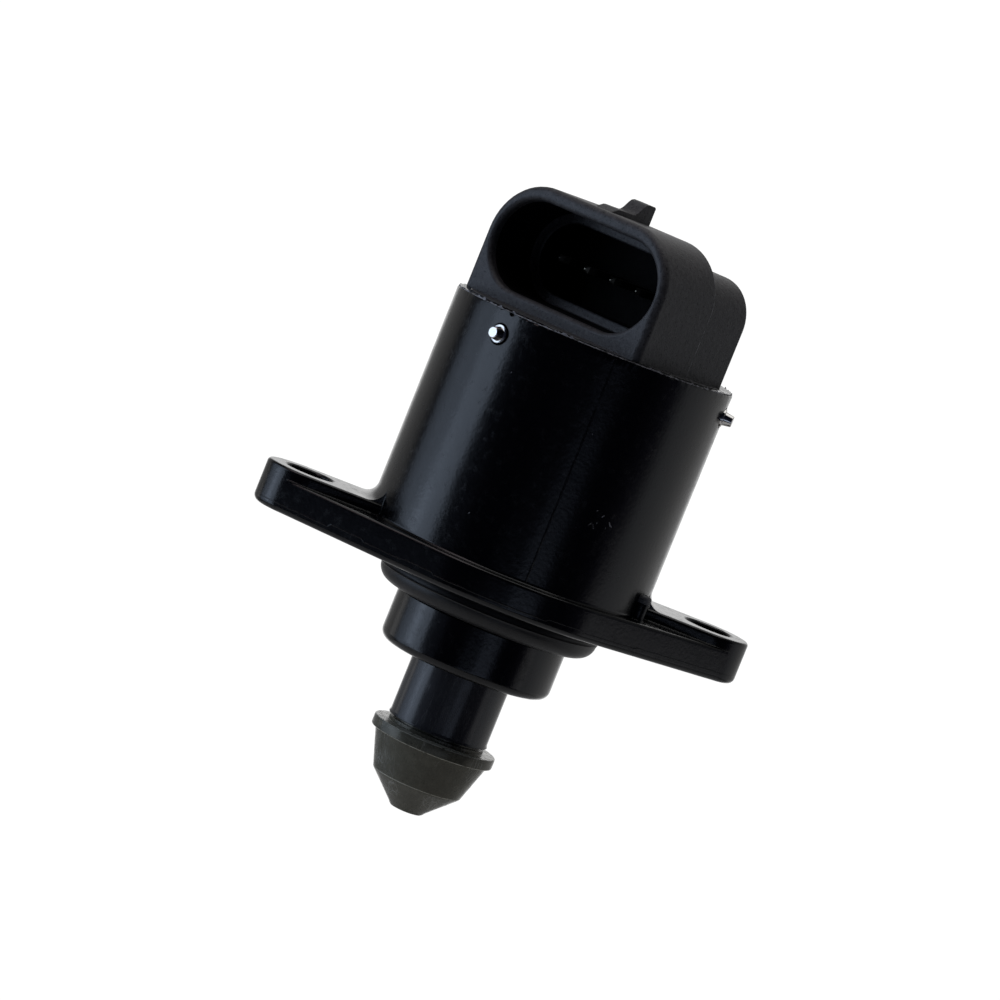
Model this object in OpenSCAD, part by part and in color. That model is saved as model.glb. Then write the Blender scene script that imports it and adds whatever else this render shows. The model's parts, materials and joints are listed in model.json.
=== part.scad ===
// Idle air control valve: a small stepper motor in a flanged black housing that
// screws a pintle in and out of a throttle body's air passage.
// Millimetres. Z = 0 is the flange's mounting face, +Z runs up to the connector,
// and X runs along the two fixing holes.

/* [Housing] */
// Diameter of the round body
body_d = 34.15; // [33:0.05:37]
// Height of the body's rim above the mounting face
body_top = 31.75; // [31.5:0.05:36]
// Thickness of the body's wall beside the motor
body_wall = 1.6; // [1.2:0.1:1.9]
// Bevel round the body's rim
rim_bevel = 0.4; // [0.1:0.05:0.6]
// Size of the small fillet where the body meets the flange
foot_fillet = 0.4; // [0.2:0.1:0.6]
// Thickness of the floor between the flange's face and the motor's space
floor_t = 2.2; // [1.5:0.1:3]

/* [Flange] */
// Thickness of the flange plate
plate_t = 3.9; // [3:0.1:4.4]
// How far the plate's round middle stands out past the body
plate_edge = 1.1; // [0.8:0.1:3]
// Thickness at the raised ears
ear_t = 5.15; // [4.6:0.05:6]
// Radius of each ear's round end
ear_r = 5.1; // [4.6:0.1:6]
// Distance between the two fixing holes
hole_spacing = 50; // [46:0.5:56]
// Diameter of each fixing hole
hole_d = 5.6; // [5.2:0.1:6.6]
// Rounding of the flange's lower edge
low_round = 0.8; // [0.3:0.1:1]
// Rounding of the flange's upper edges
top_round = 0.4; // [0.2:0.1:0.6]
// Radius of the fillet where an ear runs up into the body
root_fillet = 1.8; // [1:0.1:2.6]

/* [Nose] */
// Diameter of the spigot below the flange
nose_d = 20.9; // [20:0.1:22]
// Length of the spigot below the mounting face
nose_l = 9.6; // [8.5:0.1:11]
// Rounding of the spigot's lower edge
nose_round = 1.2; // [0.5:0.1:1.3]
// Wall of the spigot outside its core pocket
nose_wall = 1.4; // [1:0.1:1.6]
// Diameter of the shallow step that locates the seal
step_d = 27.1; // [27:0.1:28]
// Height of the step
step_h = 0.45; // [0.2:0.05:0.8]
// Section diameter of the flange seal
seal_cord = 3.8; // [3.4:0.05:4.2]
// Outer diameter of the flange seal
seal_d = 26.9; // [26.4:0.1:26.9]
// How far the seal's lower edge stands below the mounting face
seal_low = 3.15; // [2.9:0.05:3.4]
// Depth of the seal's seat round the spigot
seat_cut = 0.3; // [0.25:0.05:0.4]

/* [Plunger] */
// Outer diameter of the plunger tube
tube_d = 12; // [11:0.1:12.2]
// Wall of the plunger tube
tube_wall = 1.2; // [0.9:0.1:1.4]
// Length of the plunger tube
tube_l = 13.4; // [12:0.1:14]
// How far the tube's lower end stands below the mounting face when extended
tube_reach = 17.4; // [17.2:0.1:19]
// Width of the two keys that stop the plunger turning
key_w = 2; // [1.4:0.1:2.6]
// Height of the keys
key_h = 2.4; // [1.6:0.1:3]
// How far the keys stand out of the tube
key_out = 1.05; // [0.7:0.05:1.2]
// Thickness of the fine lip round the tube's lower end
lip_out = 0.12; // [0.05:0.01:0.2]
// Travel of the plunger from extended to drawn in
stroke = 7.5; // [4:0.1:7.5]

/* [Pintle tip] */
// Gap between the tube's end and the tip's neck
neck_gap = 0.5; // [0.2:0.05:0.8]
// Height of the tip's neck above the collar
neck_h = 0.25; // [0.2:0.05:1]
// Diameter of the collar
collar_d = 15; // [14.4:0.1:16]
// Thickness of the collar
collar_h = 1.3; // [0.7:0.1:1.6]
// Diameter of the first cone where it leaves the collar
cone_top_d = 13.95; // [12.4:0.05:14]
// Diameter where the two cones meet
cone_mid_d = 10.9; // [9:0.1:11.6]
// Height of the first cone
cone_h = 4.6; // [3.5:0.05:6]
// Diameter of the tip's blunt end
end_d = 4.1; // [3:0.1:6]
// Height of the second cone
end_h = 3.55; // [2.4:0.05:5]

/* [Connector cap] */
// Turn of the socket from the cross line of the fixing holes, in degrees
plug_turn = 45; // [30:1:60]
// Distance of the socket's face from the axis
face_out = 9.45; // [9:0.05:9.8]
// Width of the cap's block
block_w = 27.2; // [26.4:0.1:27.6]
// Height of the block's top above the mounting face
block_top = 46.05; // [45.4:0.05:48]
// Radius of the block's upper corners
block_r = 7; // [5:0.1:7.4]
// Depth of the front part of the block
front_depth = 10.1; // [9:0.1:11]
// Depth of the rear part of the block
rear_depth = 7.2; // [6.4:0.1:7.6]
// How much lower the rear part's top is
rear_drop = 2.2; // [1:0.1:3]
// Radius of the rear part's upper corners
rear_r = 5; // [3:0.1:6]
// How much narrower the rear part is on each side
rear_in = 0.12; // [0.05:0.01:0.6]
// Rounding of the block's front edge
face_round = 0.4; // [0.2:0.05:0.5]

/* [Socket] */
// Width of the mouth
mouth_w = 24.6; // [23:0.1:25]
// Height of the mouth
mouth_h = 11; // [10:0.1:11.4]
// Height of the mouth's centre line above the mounting face
mouth_z = 38.8; // [38.2:0.05:39]
// Depth of the mouth's outer stretch
mouth_depth = 8; // [5:0.1:9]
// How much the inner stretch is set in all round
mouth_step = 1.1; // [0.6:0.1:1.6]
// Whole depth of the socket
socket_depth = 12; // [10.5:0.1:12.6]
// Bevel round the mouth
mouth_bevel = 0.35; // [0.2:0.05:0.5]
// Width of the latch lug on top
lug_w = 2.5; // [1.5:0.1:6]
// Height of the latch lug
lug_h = 2.25; // [1.5:0.05:3]
// Height of the low step in front of the latch lug
lug_step = 0.6; // [0.3:0.05:1]

/* [Terminals] */
// Distance from terminal to terminal
term_pitch = 4; // [3.4:0.1:4.4]
// Width of a terminal
term_w = 1.5; // [1:0.1:1.8]
// Thickness of a terminal
term_t = 0.8; // [0.5:0.05:1]
// Length of a terminal's blade in the socket
term_blade = 6.5; // [5:0.1:8]

/* [Cap plug] */
// Section diameter of the cap's ring seal
cap_cord = 1.7; // [1.4:0.05:2]
// Wall between the cap's core and its seal groove
plug_wall = 1.15; // [0.9:0.05:1.5]
// Thickness of the cap above its cores
cap_floor = 1.6; // [1.2:0.1:2.4]
// Diameter of a retaining pin
pin_d = 2.2; // [1.6:0.1:2.4]
// Diameter of a retaining pin's flat end
pin_end_d = 1.25; // [0.8:0.05:1.5]
// How far a retaining pin stands out of the body
pin_out = 1.25; // [0.6:0.05:1.8]
// Length of a retaining pin
pin_l = 5; // [4.2:0.1:5.4]
// Distance of the pins below the body's rim
pin_drop = 2.95; // [2:0.05:3.1]
// Length of a retaining pin's tapered end
pin_taper = 1.1; // [0.4:0.05:1.2]

/* [Motor] */
// Height of the ledge that the motor stands on
motor_z = 6.5; // [6.2:0.1:7]
// Height of each half of the stator
half_h = 8.2; // [7.4:0.1:8.3]
// Thickness of the stator's sheet steel
sheet_t = 0.8; // [0.6:0.05:1]
// Diameter of the rotor magnet
magnet_d = 16; // [15.6:0.1:16.4]
// Length of the rotor magnet
magnet_l = 11; // [8:0.1:11.6]
// Air gap between the magnet and the claw poles
air_gap = 0.25; // [0.15:0.05:0.4]
// Wall of the stator cups
cup_wall = 0.9; // [0.6:0.05:1.1]
// Thickness of a claw pole
claw_t = 0.75; // [0.5:0.05:0.9]
// Claw poles on each stator sheet
claw_count = 6; // [4:1:6]
// Width of a claw pole at its root
claw_root = 3.4; // [2.4:0.1:3.6]
// Width of a claw pole at its tip
claw_tip = 1.8; // [1:0.1:2.2]
// Wall of the coil bobbins
bobbin_wall = 0.7; // [0.5:0.05:0.9]
// Thickness of the coil bobbins' flanges
bobbin_flange = 0.6; // [0.4:0.05:0.8]
// Height that the wave washer fills above the motor
wave_h = 1.1; // [0.9:0.05:1.3]
// Thickness of the wave washer
wave_t = 0.3; // [0.2:0.05:0.4]

/* [Rotor bearings] */
// Outer diameter of the ball bearing
bearing_od = 13; // [12.8:0.1:13.4]
// Bore of the ball bearing
bearing_id = 7; // [6.8:0.1:7.2]
// Width of the ball bearing
bearing_w = 4; // [3.6:0.1:4.2]
// Diameter of a ball
ball_d = 2; // [1.8:0.05:2.1]
// Number of balls
ball_count = 7; // [5:1:8]
// Thickness of the washer that carries the return spring
seat_t = 0.5; // [0.4:0.05:0.7]
// Diameter of the rotor's upper journal
journal_d = 6; // [5.6:0.1:6.4]
// Outer diameter of the upper bush
bush_d = 9.2; // [8.6:0.1:9.6]
// Length of the upper bush in its pocket
bush_l = 2.4; // [1.8:0.1:3]
// How far the upper bush's flange stands out all round
bush_lip = 1; // [0.6:0.1:1.2]
// Thickness of the upper bush's flange
bush_flange = 0.6; // [0.4:0.05:0.8]

/* [Lead screw and spring] */
// Diameter of the lead screw
screw_d = 4.8; // [4.4:0.1:5]
// Length of the lead screw
screw_l = 38; // [34:0.5:39]
// Wire diameter of the return spring
wire_d = 0.6; // [0.4:0.05:0.7]
// Turns of the return spring
spring_turns = 8; // [6:1:9]

/* [Hidden] */
$fn = 96;

// Small clearances: between pieces that are seated, that slide, and that turn
seat_gap = 0.02;
slide_gap = 0.1;
run_gap = 0.06;

body_r = body_d / 2;
bore_r = body_r - body_wall;
plate_r = body_r + plate_edge;
hole_x = hole_spacing / 2;
nose_r = nose_d / 2;
seat_low = seal_low + 0.3;
tube_r = tube_d / 2;
guide_r = tube_r + slide_gap;
guide_bevel = 0.25;
key_r = tube_r + key_out;
key_slot_r = key_r + slide_gap;
tube_top = -tube_reach + tube_l;

// The bearing stands in a pocket on top of the guide sleeve, on the spring's washer
seat_z = tube_top + stroke + 0.5;
bearing_r = bearing_od / 2;
bearing_z = seat_z + seat_t;
bearing_mid = bearing_z + bearing_w / 2;
bearing_top = bearing_z + bearing_w;
ball_path_r = (bearing_od + bearing_id) / 4;
race_gap = 0.05;
groove_r = ball_d / 2 + race_gap;
race_land = 0.45;
claw_in = magnet_d / 2 + air_gap;
claw_out = claw_in + claw_t;
sleeve_r = claw_in - 0.35;
sleeve_top = bearing_z + bearing_w * 0.75;

motor_mid = motor_z + half_h;
motor_top = motor_z + 2 * half_h;
plug_z = motor_top + wave_h;
cup_r = bore_r - 0.05;
cup_in = cup_r - cup_wall;
ledge_w = 1;

pin_z = body_top - pin_drop;
pin_r = pin_d / 2;
pin_tip_r = body_r + pin_out;
pin_inner_r = pin_tip_r - pin_l;
plug_r = bore_r - seat_gap - 0.03;
groove_in = plug_r - cap_cord + 0.1;
groove_h = cap_cord + 0.3;
groove_z = plug_z + 0.9;
core_r = groove_in - plug_wall;
core_top = body_top - cap_floor;

block_back = -face_out + front_depth;
rear_back = block_back + rear_depth;
rear_top = block_top - rear_drop;
socket_end = -face_out + socket_depth;
bush_r = bush_d / 2;
bush_top = plug_z + bush_l;
term_y = bush_r + bush_lip + 0.3 + term_t / 2;
term_low = plug_z - 0.6;

screw_r = screw_d / 2;
neck_z = -tube_reach - neck_gap;
collar_z = neck_z - neck_h;
cone_z = collar_z - collar_h;
mid_z = cone_z - cone_h;
tip_z = mid_z - end_h;
spigot_z = -tube_reach + 3.5;
screw_z = mid_z + 0.4;

// Points of an arc in the plane, from one angle to another
function arc(cx, cy, r, from, to, steps) =
    [for (i = [0:steps]) let (a = from + (to - from) * i / steps) [cx + r * cos(a), cy + r * sin(a)]];

// A round plate with its lower and upper edges rounded, for the flange's hulls
module soft_disc(r, top) {
    rotate_extrude($fn = 88)
        polygon(concat(
            [[0, 0]],
            arc(r - low_round, low_round, low_round, -90, 0, 4),
            arc(r - top_round, top - top_round, top_round, 0, 90, 3),
            [[0, top]]));
}

// The flange's plate and, a little thicker, the strip that carries both ears
module flange_plate() {
    hull() {
        soft_disc(plate_r, plate_t);
        for (side = [-1, 1]) translate([side * hole_x, 0, 0]) soft_disc(ear_r - 0.1, plate_t);
    }
    hull() {
        for (side = [-1, 1]) translate([side * hole_x, 0, 0]) soft_disc(ear_r, ear_t);
    }
}

// Concave fillet at each ear's root, where the ear's top meets the round body
module root_fillets() {
    reach = body_r + root_fillet;
    foot = ear_t - top_round;
    half_w = ear_r - top_round;
    intersection() {
        rotate_extrude()
            polygon(concat(
                [[body_r - 0.5, foot], [reach, foot]],
                arc(reach, ear_t + root_fillet, root_fillet, 270, 182, 7),
                [[body_r - 0.5, ear_t + root_fillet]]));
        translate([-reach - 1, -half_w, foot - 1]) cube([2 * reach + 2, 2 * half_w, root_fillet + 3]);
    }
}

// Round body with a bevelled rim and a small fillet at its foot
module body_shape() {
    rotate_extrude()
        polygon([
            [0, 1], [body_r - 1, 1], [body_r - 1, plate_t - 0.5], [body_r + foot_fillet, plate_t - 0.5],
            [body_r + foot_fillet, plate_t], [body_r, plate_t + foot_fillet],
            [body_r, body_top - rim_bevel], [body_r - rim_bevel, body_top], [0, body_top]]);
}

// Spigot with a rounded lower edge, the shallow seat round it for the seal, and the step above
module nose_shape() {
    rotate_extrude()
        polygon(concat(
            [[0, 1.5], [0, -nose_l]],
            arc(nose_r - nose_round, nose_round - nose_l, nose_round, -90, 0, 6),
            [[nose_r, -seat_low], [nose_r - seat_cut, seat_cut - seat_low], [nose_r - seat_cut, -step_h],
                [step_d / 2, -step_h], [step_d / 2, 0], [step_d / 2 - 1, 1.5]]));
}

// Everything that is hollow inside the housing: motor bore, core pocket and plunger guide
module housing_cavity() {
    rotate_extrude()
        polygon([
            [sleeve_r, 2 - nose_l], [nose_r - nose_wall, 2 - nose_l], [nose_r - nose_wall, floor_t],
            [bore_r - ledge_w, floor_t], [bore_r - ledge_w, motor_z], [bore_r, motor_z],
            [bore_r, body_top + 1], [0, body_top + 1], [0, sleeve_top], [sleeve_r, sleeve_top]]);
    rotate_extrude()
        polygon([
            [0, -nose_l - 1], [guide_r + guide_bevel, -nose_l - 1], [guide_r + guide_bevel, -nose_l],
            [guide_r, guide_bevel - nose_l], [guide_r, seat_z],
            [bearing_r + seat_gap, seat_z], [bearing_r + seat_gap, sleeve_top + 1], [0, sleeve_top + 1]]);
    key_foot = tube_top - key_h - 0.05;
    translate([-key_slot_r, -key_w / 2 - slide_gap, key_foot])
        cube([2 * key_slot_r, key_w + 2 * slide_gap, seat_z - key_foot]);
}

// Direction of retaining pin i, counted from the one under the socket
function pin_angle(i) = -90 - plug_turn + 120 * i;

// Moulded housing: body, flange with two ears, and the nose that guides the plunger
module housing() {
    color([0.035, 0.035, 0.04])
        difference() {
            union() {
                flange_plate();
                root_fillets();
                body_shape();
                nose_shape();
            }
            housing_cavity();
            for (side = [-1, 1])
                translate([side * hole_x, 0, -1]) cylinder(d = hole_d, h = ear_t + 2);
            for (i = [0:2])
                rotate([0, 0, pin_angle(i)]) translate([bore_r - 1, 0, pin_z])
                    rotate([0, 90, 0]) cylinder(r = pin_r + 0.12, h = body_wall + 2);
        }
}

// Ring seal round the nose, pressed flat against its seat and against the step
module flange_seal() {
    r = seal_cord / 2;
    in = nose_r - seat_cut + seat_gap;
    color([0.03, 0.03, 0.032])
        rotate_extrude()
            intersection() {
                translate([seal_d / 2 - r, r - seal_low]) circle(r = r, $fn = 48);
                translate([in, -step_h - seal_cord]) square([seal_cord, seal_cord]);
            }
}

// Outline of the cap's block: square feet and two round upper corners, drawn in from its full size by inset
module block_outline(width, foot, top, corner, inset) {
    half_w = width / 2 - inset;
    high = top - inset;
    r = corner - inset;
    polygon(concat(
        [[-half_w, foot], [half_w, foot]],
        arc(half_w - r, high - r, r, 0, 90, 16),
        arc(r - half_w, high - r, r, 90, 180, 16)));
}

// A slice of that outline, standing up at depth y
module block_slice(y, thick, width, top, corner, inset) {
    translate([0, y + thick, 0])
        rotate([90, 0, 0])
            linear_extrude(thick)
                block_outline(width, body_top, top, corner, inset);
}

// Outline with two round ends, as the socket's mouth has
module stadium(width, high) {
    square([width - high, high], center = true);
    for (side = [-1, 1]) translate([side * (width - high) / 2, 0]) circle(d = high);
}

// The socket as a solid: mouth, inner stretch and the bevel round the mouth
module socket_space() {
    inner_w = mouth_w - 2 * mouth_step;
    inner_h = mouth_h - 2 * mouth_step;
    translate([0, -face_out, mouth_z]) rotate([90, 0, 0]) {
        translate([0, 0, -mouth_depth]) linear_extrude(mouth_depth + 1) stadium(mouth_w, mouth_h);
        translate([0, 0, -socket_depth]) linear_extrude(socket_depth) stadium(inner_w, inner_h);
        hull() {
            translate([0, 0, -mouth_bevel]) linear_extrude(0.01) stadium(mouth_w, mouth_h);
            translate([0, 0, 0]) linear_extrude(0.05)
                stadium(mouth_w + 1.2 * mouth_bevel, mouth_h + 1.2 * mouth_bevel);
        }
    }
}

// Latch lug: a low step, a ramp up to a short flat top, and a steep back
module latch_lug() {
    y0 = -face_out;
    root = block_top - 0.5;
    translate([-lug_w / 2, 0, 0])
        rotate([90, 0, 90])
            linear_extrude(lug_w)
                polygon([
                    [y0 + 1.3, root], [y0 + 1.5, block_top], [y0 + 2.75, block_top + lug_step - 0.04],
                    [y0 + 3.1, block_top + lug_step], [y0 + 5.65, block_top + lug_step],
                    [y0 + 6.05, block_top + lug_step + 0.1], [y0 + 6.45, block_top + lug_step + 0.45],
                    [y0 + 7, block_top + lug_h - 0.5], [y0 + 7.35, block_top + lug_h - 0.15],
                    [y0 + 7.8, block_top + lug_h],
                    [y0 + 9.05, block_top + lug_h], [y0 + 9.2, block_top + lug_h - 0.15], [y0 + 9.2, root]]);
}

// One terminal: a pointed blade in the socket, and a leg down to its coil
module terminal_shape(i) {
    x = (i - 2.5) * term_pitch;
    tip_y = socket_end - term_blade;
    w = term_w / 2;
    translate([x, 0, 0]) {
        translate([0, 0, mouth_z - term_t / 2])
            linear_extrude(term_t)
                polygon([
                    [-w, term_y], [-w, tip_y + 0.8], [-w / 2, tip_y], [w / 2, tip_y], [w, tip_y + 0.8], [w, term_y]]);
        translate([-w, term_y - term_t / 2, term_low])
            cube([term_w, term_t, mouth_z + term_t / 2 - term_low]);
    }
}

// The cap's plug: turned part inside the body, with its seal groove
module plug_shape() {
    rotate_extrude()
        polygon([
            [0, plug_z], [plug_r, plug_z], [plug_r, groove_z], [groove_in, groove_z],
            [groove_in, groove_z + groove_h], [plug_r, groove_z + groove_h], [plug_r, body_top], [0, body_top]]);
}

// Core under the cap's front, which leaves the middle for the bush and the rear for the terminals
module plug_core() {
    difference() {
        translate([0, 0, plug_z - 1]) cylinder(r = core_r, h = core_top - plug_z + 1);
        translate([0, 0, plug_z - 2]) cylinder(r = bush_r + bush_lip + 0.6, h = core_top);
        translate([-core_r - 1, socket_end - 1, plug_z - 2]) cube([2 * core_r + 2, core_r + 2, core_top]);
    }
}

// Connector cap: plug, block with the socket, latch lug and the bush's pocket
module connector_cap() {
    color([0.06, 0.06, 0.065])
        rotate([0, 0, -plug_turn])
            difference() {
                union() {
                    plug_shape();
                    hull() {
                        block_slice(-face_out, 0.02, block_w, block_top, block_r, face_round);
                        block_slice(-face_out + 0.12, 0.02, block_w, block_top, block_r, face_round * 0.3);
                        block_slice(-face_out + face_round, front_depth - face_round, block_w, block_top, block_r, 0);
                    }
                    hull() {
                        block_slice(block_back - 1, rear_depth + 0.6, block_w - 2 * rear_in, rear_top, rear_r, 0);
                        block_slice(rear_back - 0.02, 0.02, block_w - 2 * rear_in, rear_top, rear_r, 0.4);
                    }
                    latch_lug();
                }
                socket_space();
                plug_core();
                translate([0, 0, plug_z - 1]) cylinder(r = bush_r + seat_gap, h = bush_top - plug_z + 1);
                for (i = [1:4]) terminal_shape(i);
                for (i = [0:2])
                    rotate([0, 0, pin_angle(i) + plug_turn]) translate([pin_inner_r - 0.1, 0, pin_z])
                        rotate([0, 90, 0]) cylinder(r = pin_r + seat_gap, h = pin_l);
            }
}

// Ring seal in the plug's groove, squeezed between the groove and the body's bore
module cap_seal() {
    r = cap_cord / 2;
    color([0.03, 0.03, 0.032])
        rotate_extrude()
            intersection() {
                translate([(groove_in + bore_r) / 2, groove_z + groove_h / 2]) circle(r = r, $fn = 36);
                translate([groove_in + 0.01, groove_z]) square([bore_r - groove_in - 0.02, groove_h]);
            }
}

// Retaining pin i: pressed through the body's wall into the cap, with a tapered end
module retaining_pin(i) {
    color([0.78, 0.77, 0.74])
        rotate([0, 0, pin_angle(i)]) translate([pin_inner_r, 0, pin_z])
            rotate([0, 90, 0])
                rotate_extrude($fn = 48)
                    polygon([
                        [0, 0], [pin_r - 0.2, 0], [pin_r, 0.2], [pin_r, pin_l - pin_taper],
                        [pin_end_d / 2, pin_l], [0, pin_l]]);
}

module retaining_pin_1() retaining_pin(0);
module retaining_pin_2() retaining_pin(1);
module retaining_pin_3() retaining_pin(2);

// Terminal i where it lies in the turned cap
module terminal(i) {
    color([0.8, 0.7, 0.42]) rotate([0, 0, -plug_turn]) terminal_shape(i);
}

module terminal_1() terminal(1);
module terminal_2() terminal(2);
module terminal_3() terminal(3);
module terminal_4() terminal(4);

// Ring of claw poles that rise from height z, up for dir 1 and down for dir -1
module claws(z, dir, phase) {
    root = z - 0.3 * dir;
    end = z + dir * (half_h - 2 * sheet_t - 0.7);
    intersection() {
        difference() {
            translate([0, 0, min(root, end)]) cylinder(r = claw_out, h = abs(end - root));
            translate([0, 0, min(root, end) - 1]) cylinder(r = claw_in, h = abs(end - root) + 2);
        }
        for (i = [0:claw_count - 1])
            rotate([0, 0, phase + 360 * i / claw_count]) translate([claw_in - 1, 0, 0])
                rotate([90, 0, 90]) linear_extrude(claw_t + 2)
                    polygon([[-claw_root / 2, root], [claw_root / 2, root], [claw_tip / 2, end], [-claw_tip / 2, end]]);
    }
}

// Stator cup: pressed steel, closed at height z, open towards dir, with claws up its middle
module stator_cup(z, dir, phase) {
    low = min(z, z + dir * half_h);
    plate = min(z, z + dir * sheet_t);
    color([0.62, 0.63, 0.64])
        union() {
            difference() {
                translate([0, 0, low]) cylinder(r = cup_r, h = half_h);
                translate([0, 0, low - 1]) cylinder(r = cup_in, h = half_h + 2);
            }
            difference() {
                translate([0, 0, plate]) cylinder(r = cup_r - 0.3, h = sheet_t);
                translate([0, 0, plate - 1]) cylinder(r = claw_in, h = sheet_t + 2);
            }
            claws(z + dir * sheet_t, dir, phase);
        }
}

// Pole plate: flat steel ring in the cup's mouth at height z, with claws towards dir
module pole_plate(z, dir, phase) {
    plate = min(z, z + dir * sheet_t);
    color([0.66, 0.67, 0.68])
        union() {
            difference() {
                translate([0, 0, plate]) cylinder(r = cup_in - 0.05, h = sheet_t);
                translate([0, 0, plate - 1]) cylinder(r = claw_in, h = sheet_t + 2);
            }
            claws(z + dir * sheet_t, dir, phase);
        }
}

// The poles of one half stand midway between each other, and the upper half is turned by half a pole
claw_step = 180 / claw_count;
module lower_stator_cup() stator_cup(motor_z, 1, 0);
module lower_pole_plate() pole_plate(motor_mid, -1, claw_step);
module upper_pole_plate() pole_plate(motor_mid, 1, claw_step / 2);
module upper_stator_cup() stator_cup(motor_top, -1, 1.5 * claw_step);

bobbin_in = claw_out + 0.1;
bobbin_out = cup_in - 0.1;
bobbin_h = half_h - 2 * sheet_t - 0.1;

// Coil bobbin with its foot at height z
module bobbin(z) {
    color([0.85, 0.83, 0.76])
        translate([0, 0, z])
            rotate_extrude()
                polygon([
                    [bobbin_in, 0], [bobbin_out, 0], [bobbin_out, bobbin_flange],
                    [bobbin_in + bobbin_wall, bobbin_flange], [bobbin_in + bobbin_wall, bobbin_h - bobbin_flange],
                    [bobbin_out, bobbin_h - bobbin_flange], [bobbin_out, bobbin_h], [bobbin_in, bobbin_h]]);
}

// Winding of enamelled wire on the bobbin with its foot at height z, as one solid
module winding(z) {
    foot = bobbin_flange + seat_gap;
    in = bobbin_in + bobbin_wall + seat_gap;
    color([0.66, 0.33, 0.14])
        translate([0, 0, z + foot])
            difference() {
                cylinder(r = bobbin_out - 0.7, h = bobbin_h - 2 * foot);
                translate([0, 0, -1]) cylinder(r = in, h = bobbin_h + 2);
            }
}

module lower_bobbin() bobbin(motor_z + sheet_t + 0.05);
module upper_bobbin() bobbin(motor_mid + sheet_t + 0.05);
module lower_winding() winding(motor_z + sheet_t + 0.05);
module upper_winding() winding(motor_mid + sheet_t + 0.05);

// Wave washer that clamps the stator under the cap: a flat ring with three waves
module wave_washer() {
    steps = 72;
    mid = motor_top + wave_h / 2;
    swing = (wave_h - wave_t) / 2 - seat_gap;
    inner = core_r + 0.2;
    outer = cup_r - 0.5;
    ring = [for (i = [0:steps - 1]) let (a = 360 * i / steps, z = mid + swing * sin(3 * a))
        for (c = [[inner, -1], [outer, -1], [outer, 1], [inner, 1]])
            [c[0] * cos(a), c[0] * sin(a), z + c[1] * wave_t / 2]];
    faces = [for (i = [0:steps - 1], k = [0:3]) let (n = (i + 1) % steps, m = (k + 1) % 4)
        [4 * i + k, 4 * i + m, 4 * n + m, 4 * n + k]];
    color([0.7, 0.7, 0.68]) polyhedron(ring, faces);
}

// Upper bush: bronze, flanged, in the cap's pocket
module upper_bush() {
    in = journal_d / 2 + run_gap;
    color([0.72, 0.52, 0.26])
        rotate_extrude()
            polygon([
                [in, plug_z - bush_flange], [bush_r + bush_lip, plug_z - bush_flange],
                [bush_r + bush_lip, plug_z],
                [bush_r, plug_z], [bush_r, bush_top], [in, bush_top]]);
}

// Dished washer under the ball bearing that carries the return spring's upper end
module spring_seat() {
    color([0.68, 0.69, 0.7])
        rotate_extrude()
            polygon([
                [screw_r + 0.3, seat_z], [bearing_r, seat_z], [bearing_r, bearing_z],
                [bearing_r - 0.8, bearing_z], [bearing_r - 0.8, bearing_z - 0.2], [screw_r + 0.3, bearing_z - 0.2]]);
}

// Return spring between the pintle tip and its seat: a helix swept with a six-sided wire
spring_r = (screw_r + tube_r - tube_wall) / 2;
module return_spring() {
    r = wire_d / 2;
    foot = spigot_z + r + 0.01;
    rise = seat_z - r - 0.01 - foot;
    per_turn = 20;
    rings = spring_turns * per_turn;
    sides = 6;
    points = [for (i = [0:rings]) let (a = 360 * i / per_turn, z = foot + rise * i / rings)
        for (k = [0:sides - 1]) let (b = 360 * k / sides, q = spring_r + r * cos(b))
            [q * cos(a), q * sin(a), z + r * sin(b)]];
    skin = [for (i = [0:rings - 1], k = [0:sides - 1]) let (m = (k + 1) % sides)
        [i * sides + k, i * sides + m, (i + 1) * sides + m, (i + 1) * sides + k]];
    start = [[for (k = [0:sides - 1]) sides - 1 - k]];
    end = [[for (k = [0:sides - 1]) rings * sides + k]];
    color([0.74, 0.74, 0.72]) polyhedron(points, concat(skin, start, end));
}

// A race of the ball bearing: a square ring with the balls' groove
module race(inner, outer) {
    rotate_extrude()
        difference() {
            translate([inner, bearing_z]) square([outer - inner, bearing_w]);
            translate([ball_path_r, bearing_mid]) circle(r = groove_r, $fn = 48);
        }
}

module bearing_outer_race() {
    color([0.75, 0.76, 0.78]) race(ball_path_r + race_land, bearing_r);
}

module bearing_inner_race() {
    color([0.75, 0.76, 0.78]) race(bearing_id / 2, ball_path_r - race_land);
}

module bearing_balls() {
    color([0.85, 0.86, 0.88])
        for (i = [0:ball_count - 1])
            rotate([0, 0, 360 * i / ball_count]) translate([ball_path_r, 0, bearing_mid])
                sphere(d = ball_d, $fn = 32);
}

// Ball cage: a brass ring with a round pocket for each ball
module bearing_cage() {
    high = ball_d + 0.8;
    half_w = race_land - 0.15;
    color([0.78, 0.6, 0.28])
        difference() {
            translate([0, 0, bearing_mid - high / 2])
                rotate_extrude()
                    translate([ball_path_r - half_w, 0]) square([2 * half_w, high]);
            for (i = [0:ball_count - 1])
                rotate([0, 0, 360 * i / ball_count]) translate([ball_path_r, 0, bearing_mid])
                    sphere(d = ball_d + 2 * race_gap, $fn = 32);
        }
}

magnet_z = bearing_top + 0.4;
nut_r = 5.15;
nut_top = plug_z - bush_flange - 0.2;
nut_end = bush_top - 0.4;

// Rotor magnet: a ring magnetised in poles round its outside
module rotor_magnet() {
    color([0.18, 0.18, 0.19])
        translate([0, 0, magnet_z])
            difference() {
                cylinder(d = magnet_d, h = magnet_l);
                translate([0, 0, -1]) cylinder(r = nut_r + seat_gap, h = magnet_l + 2);
            }
}

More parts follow.
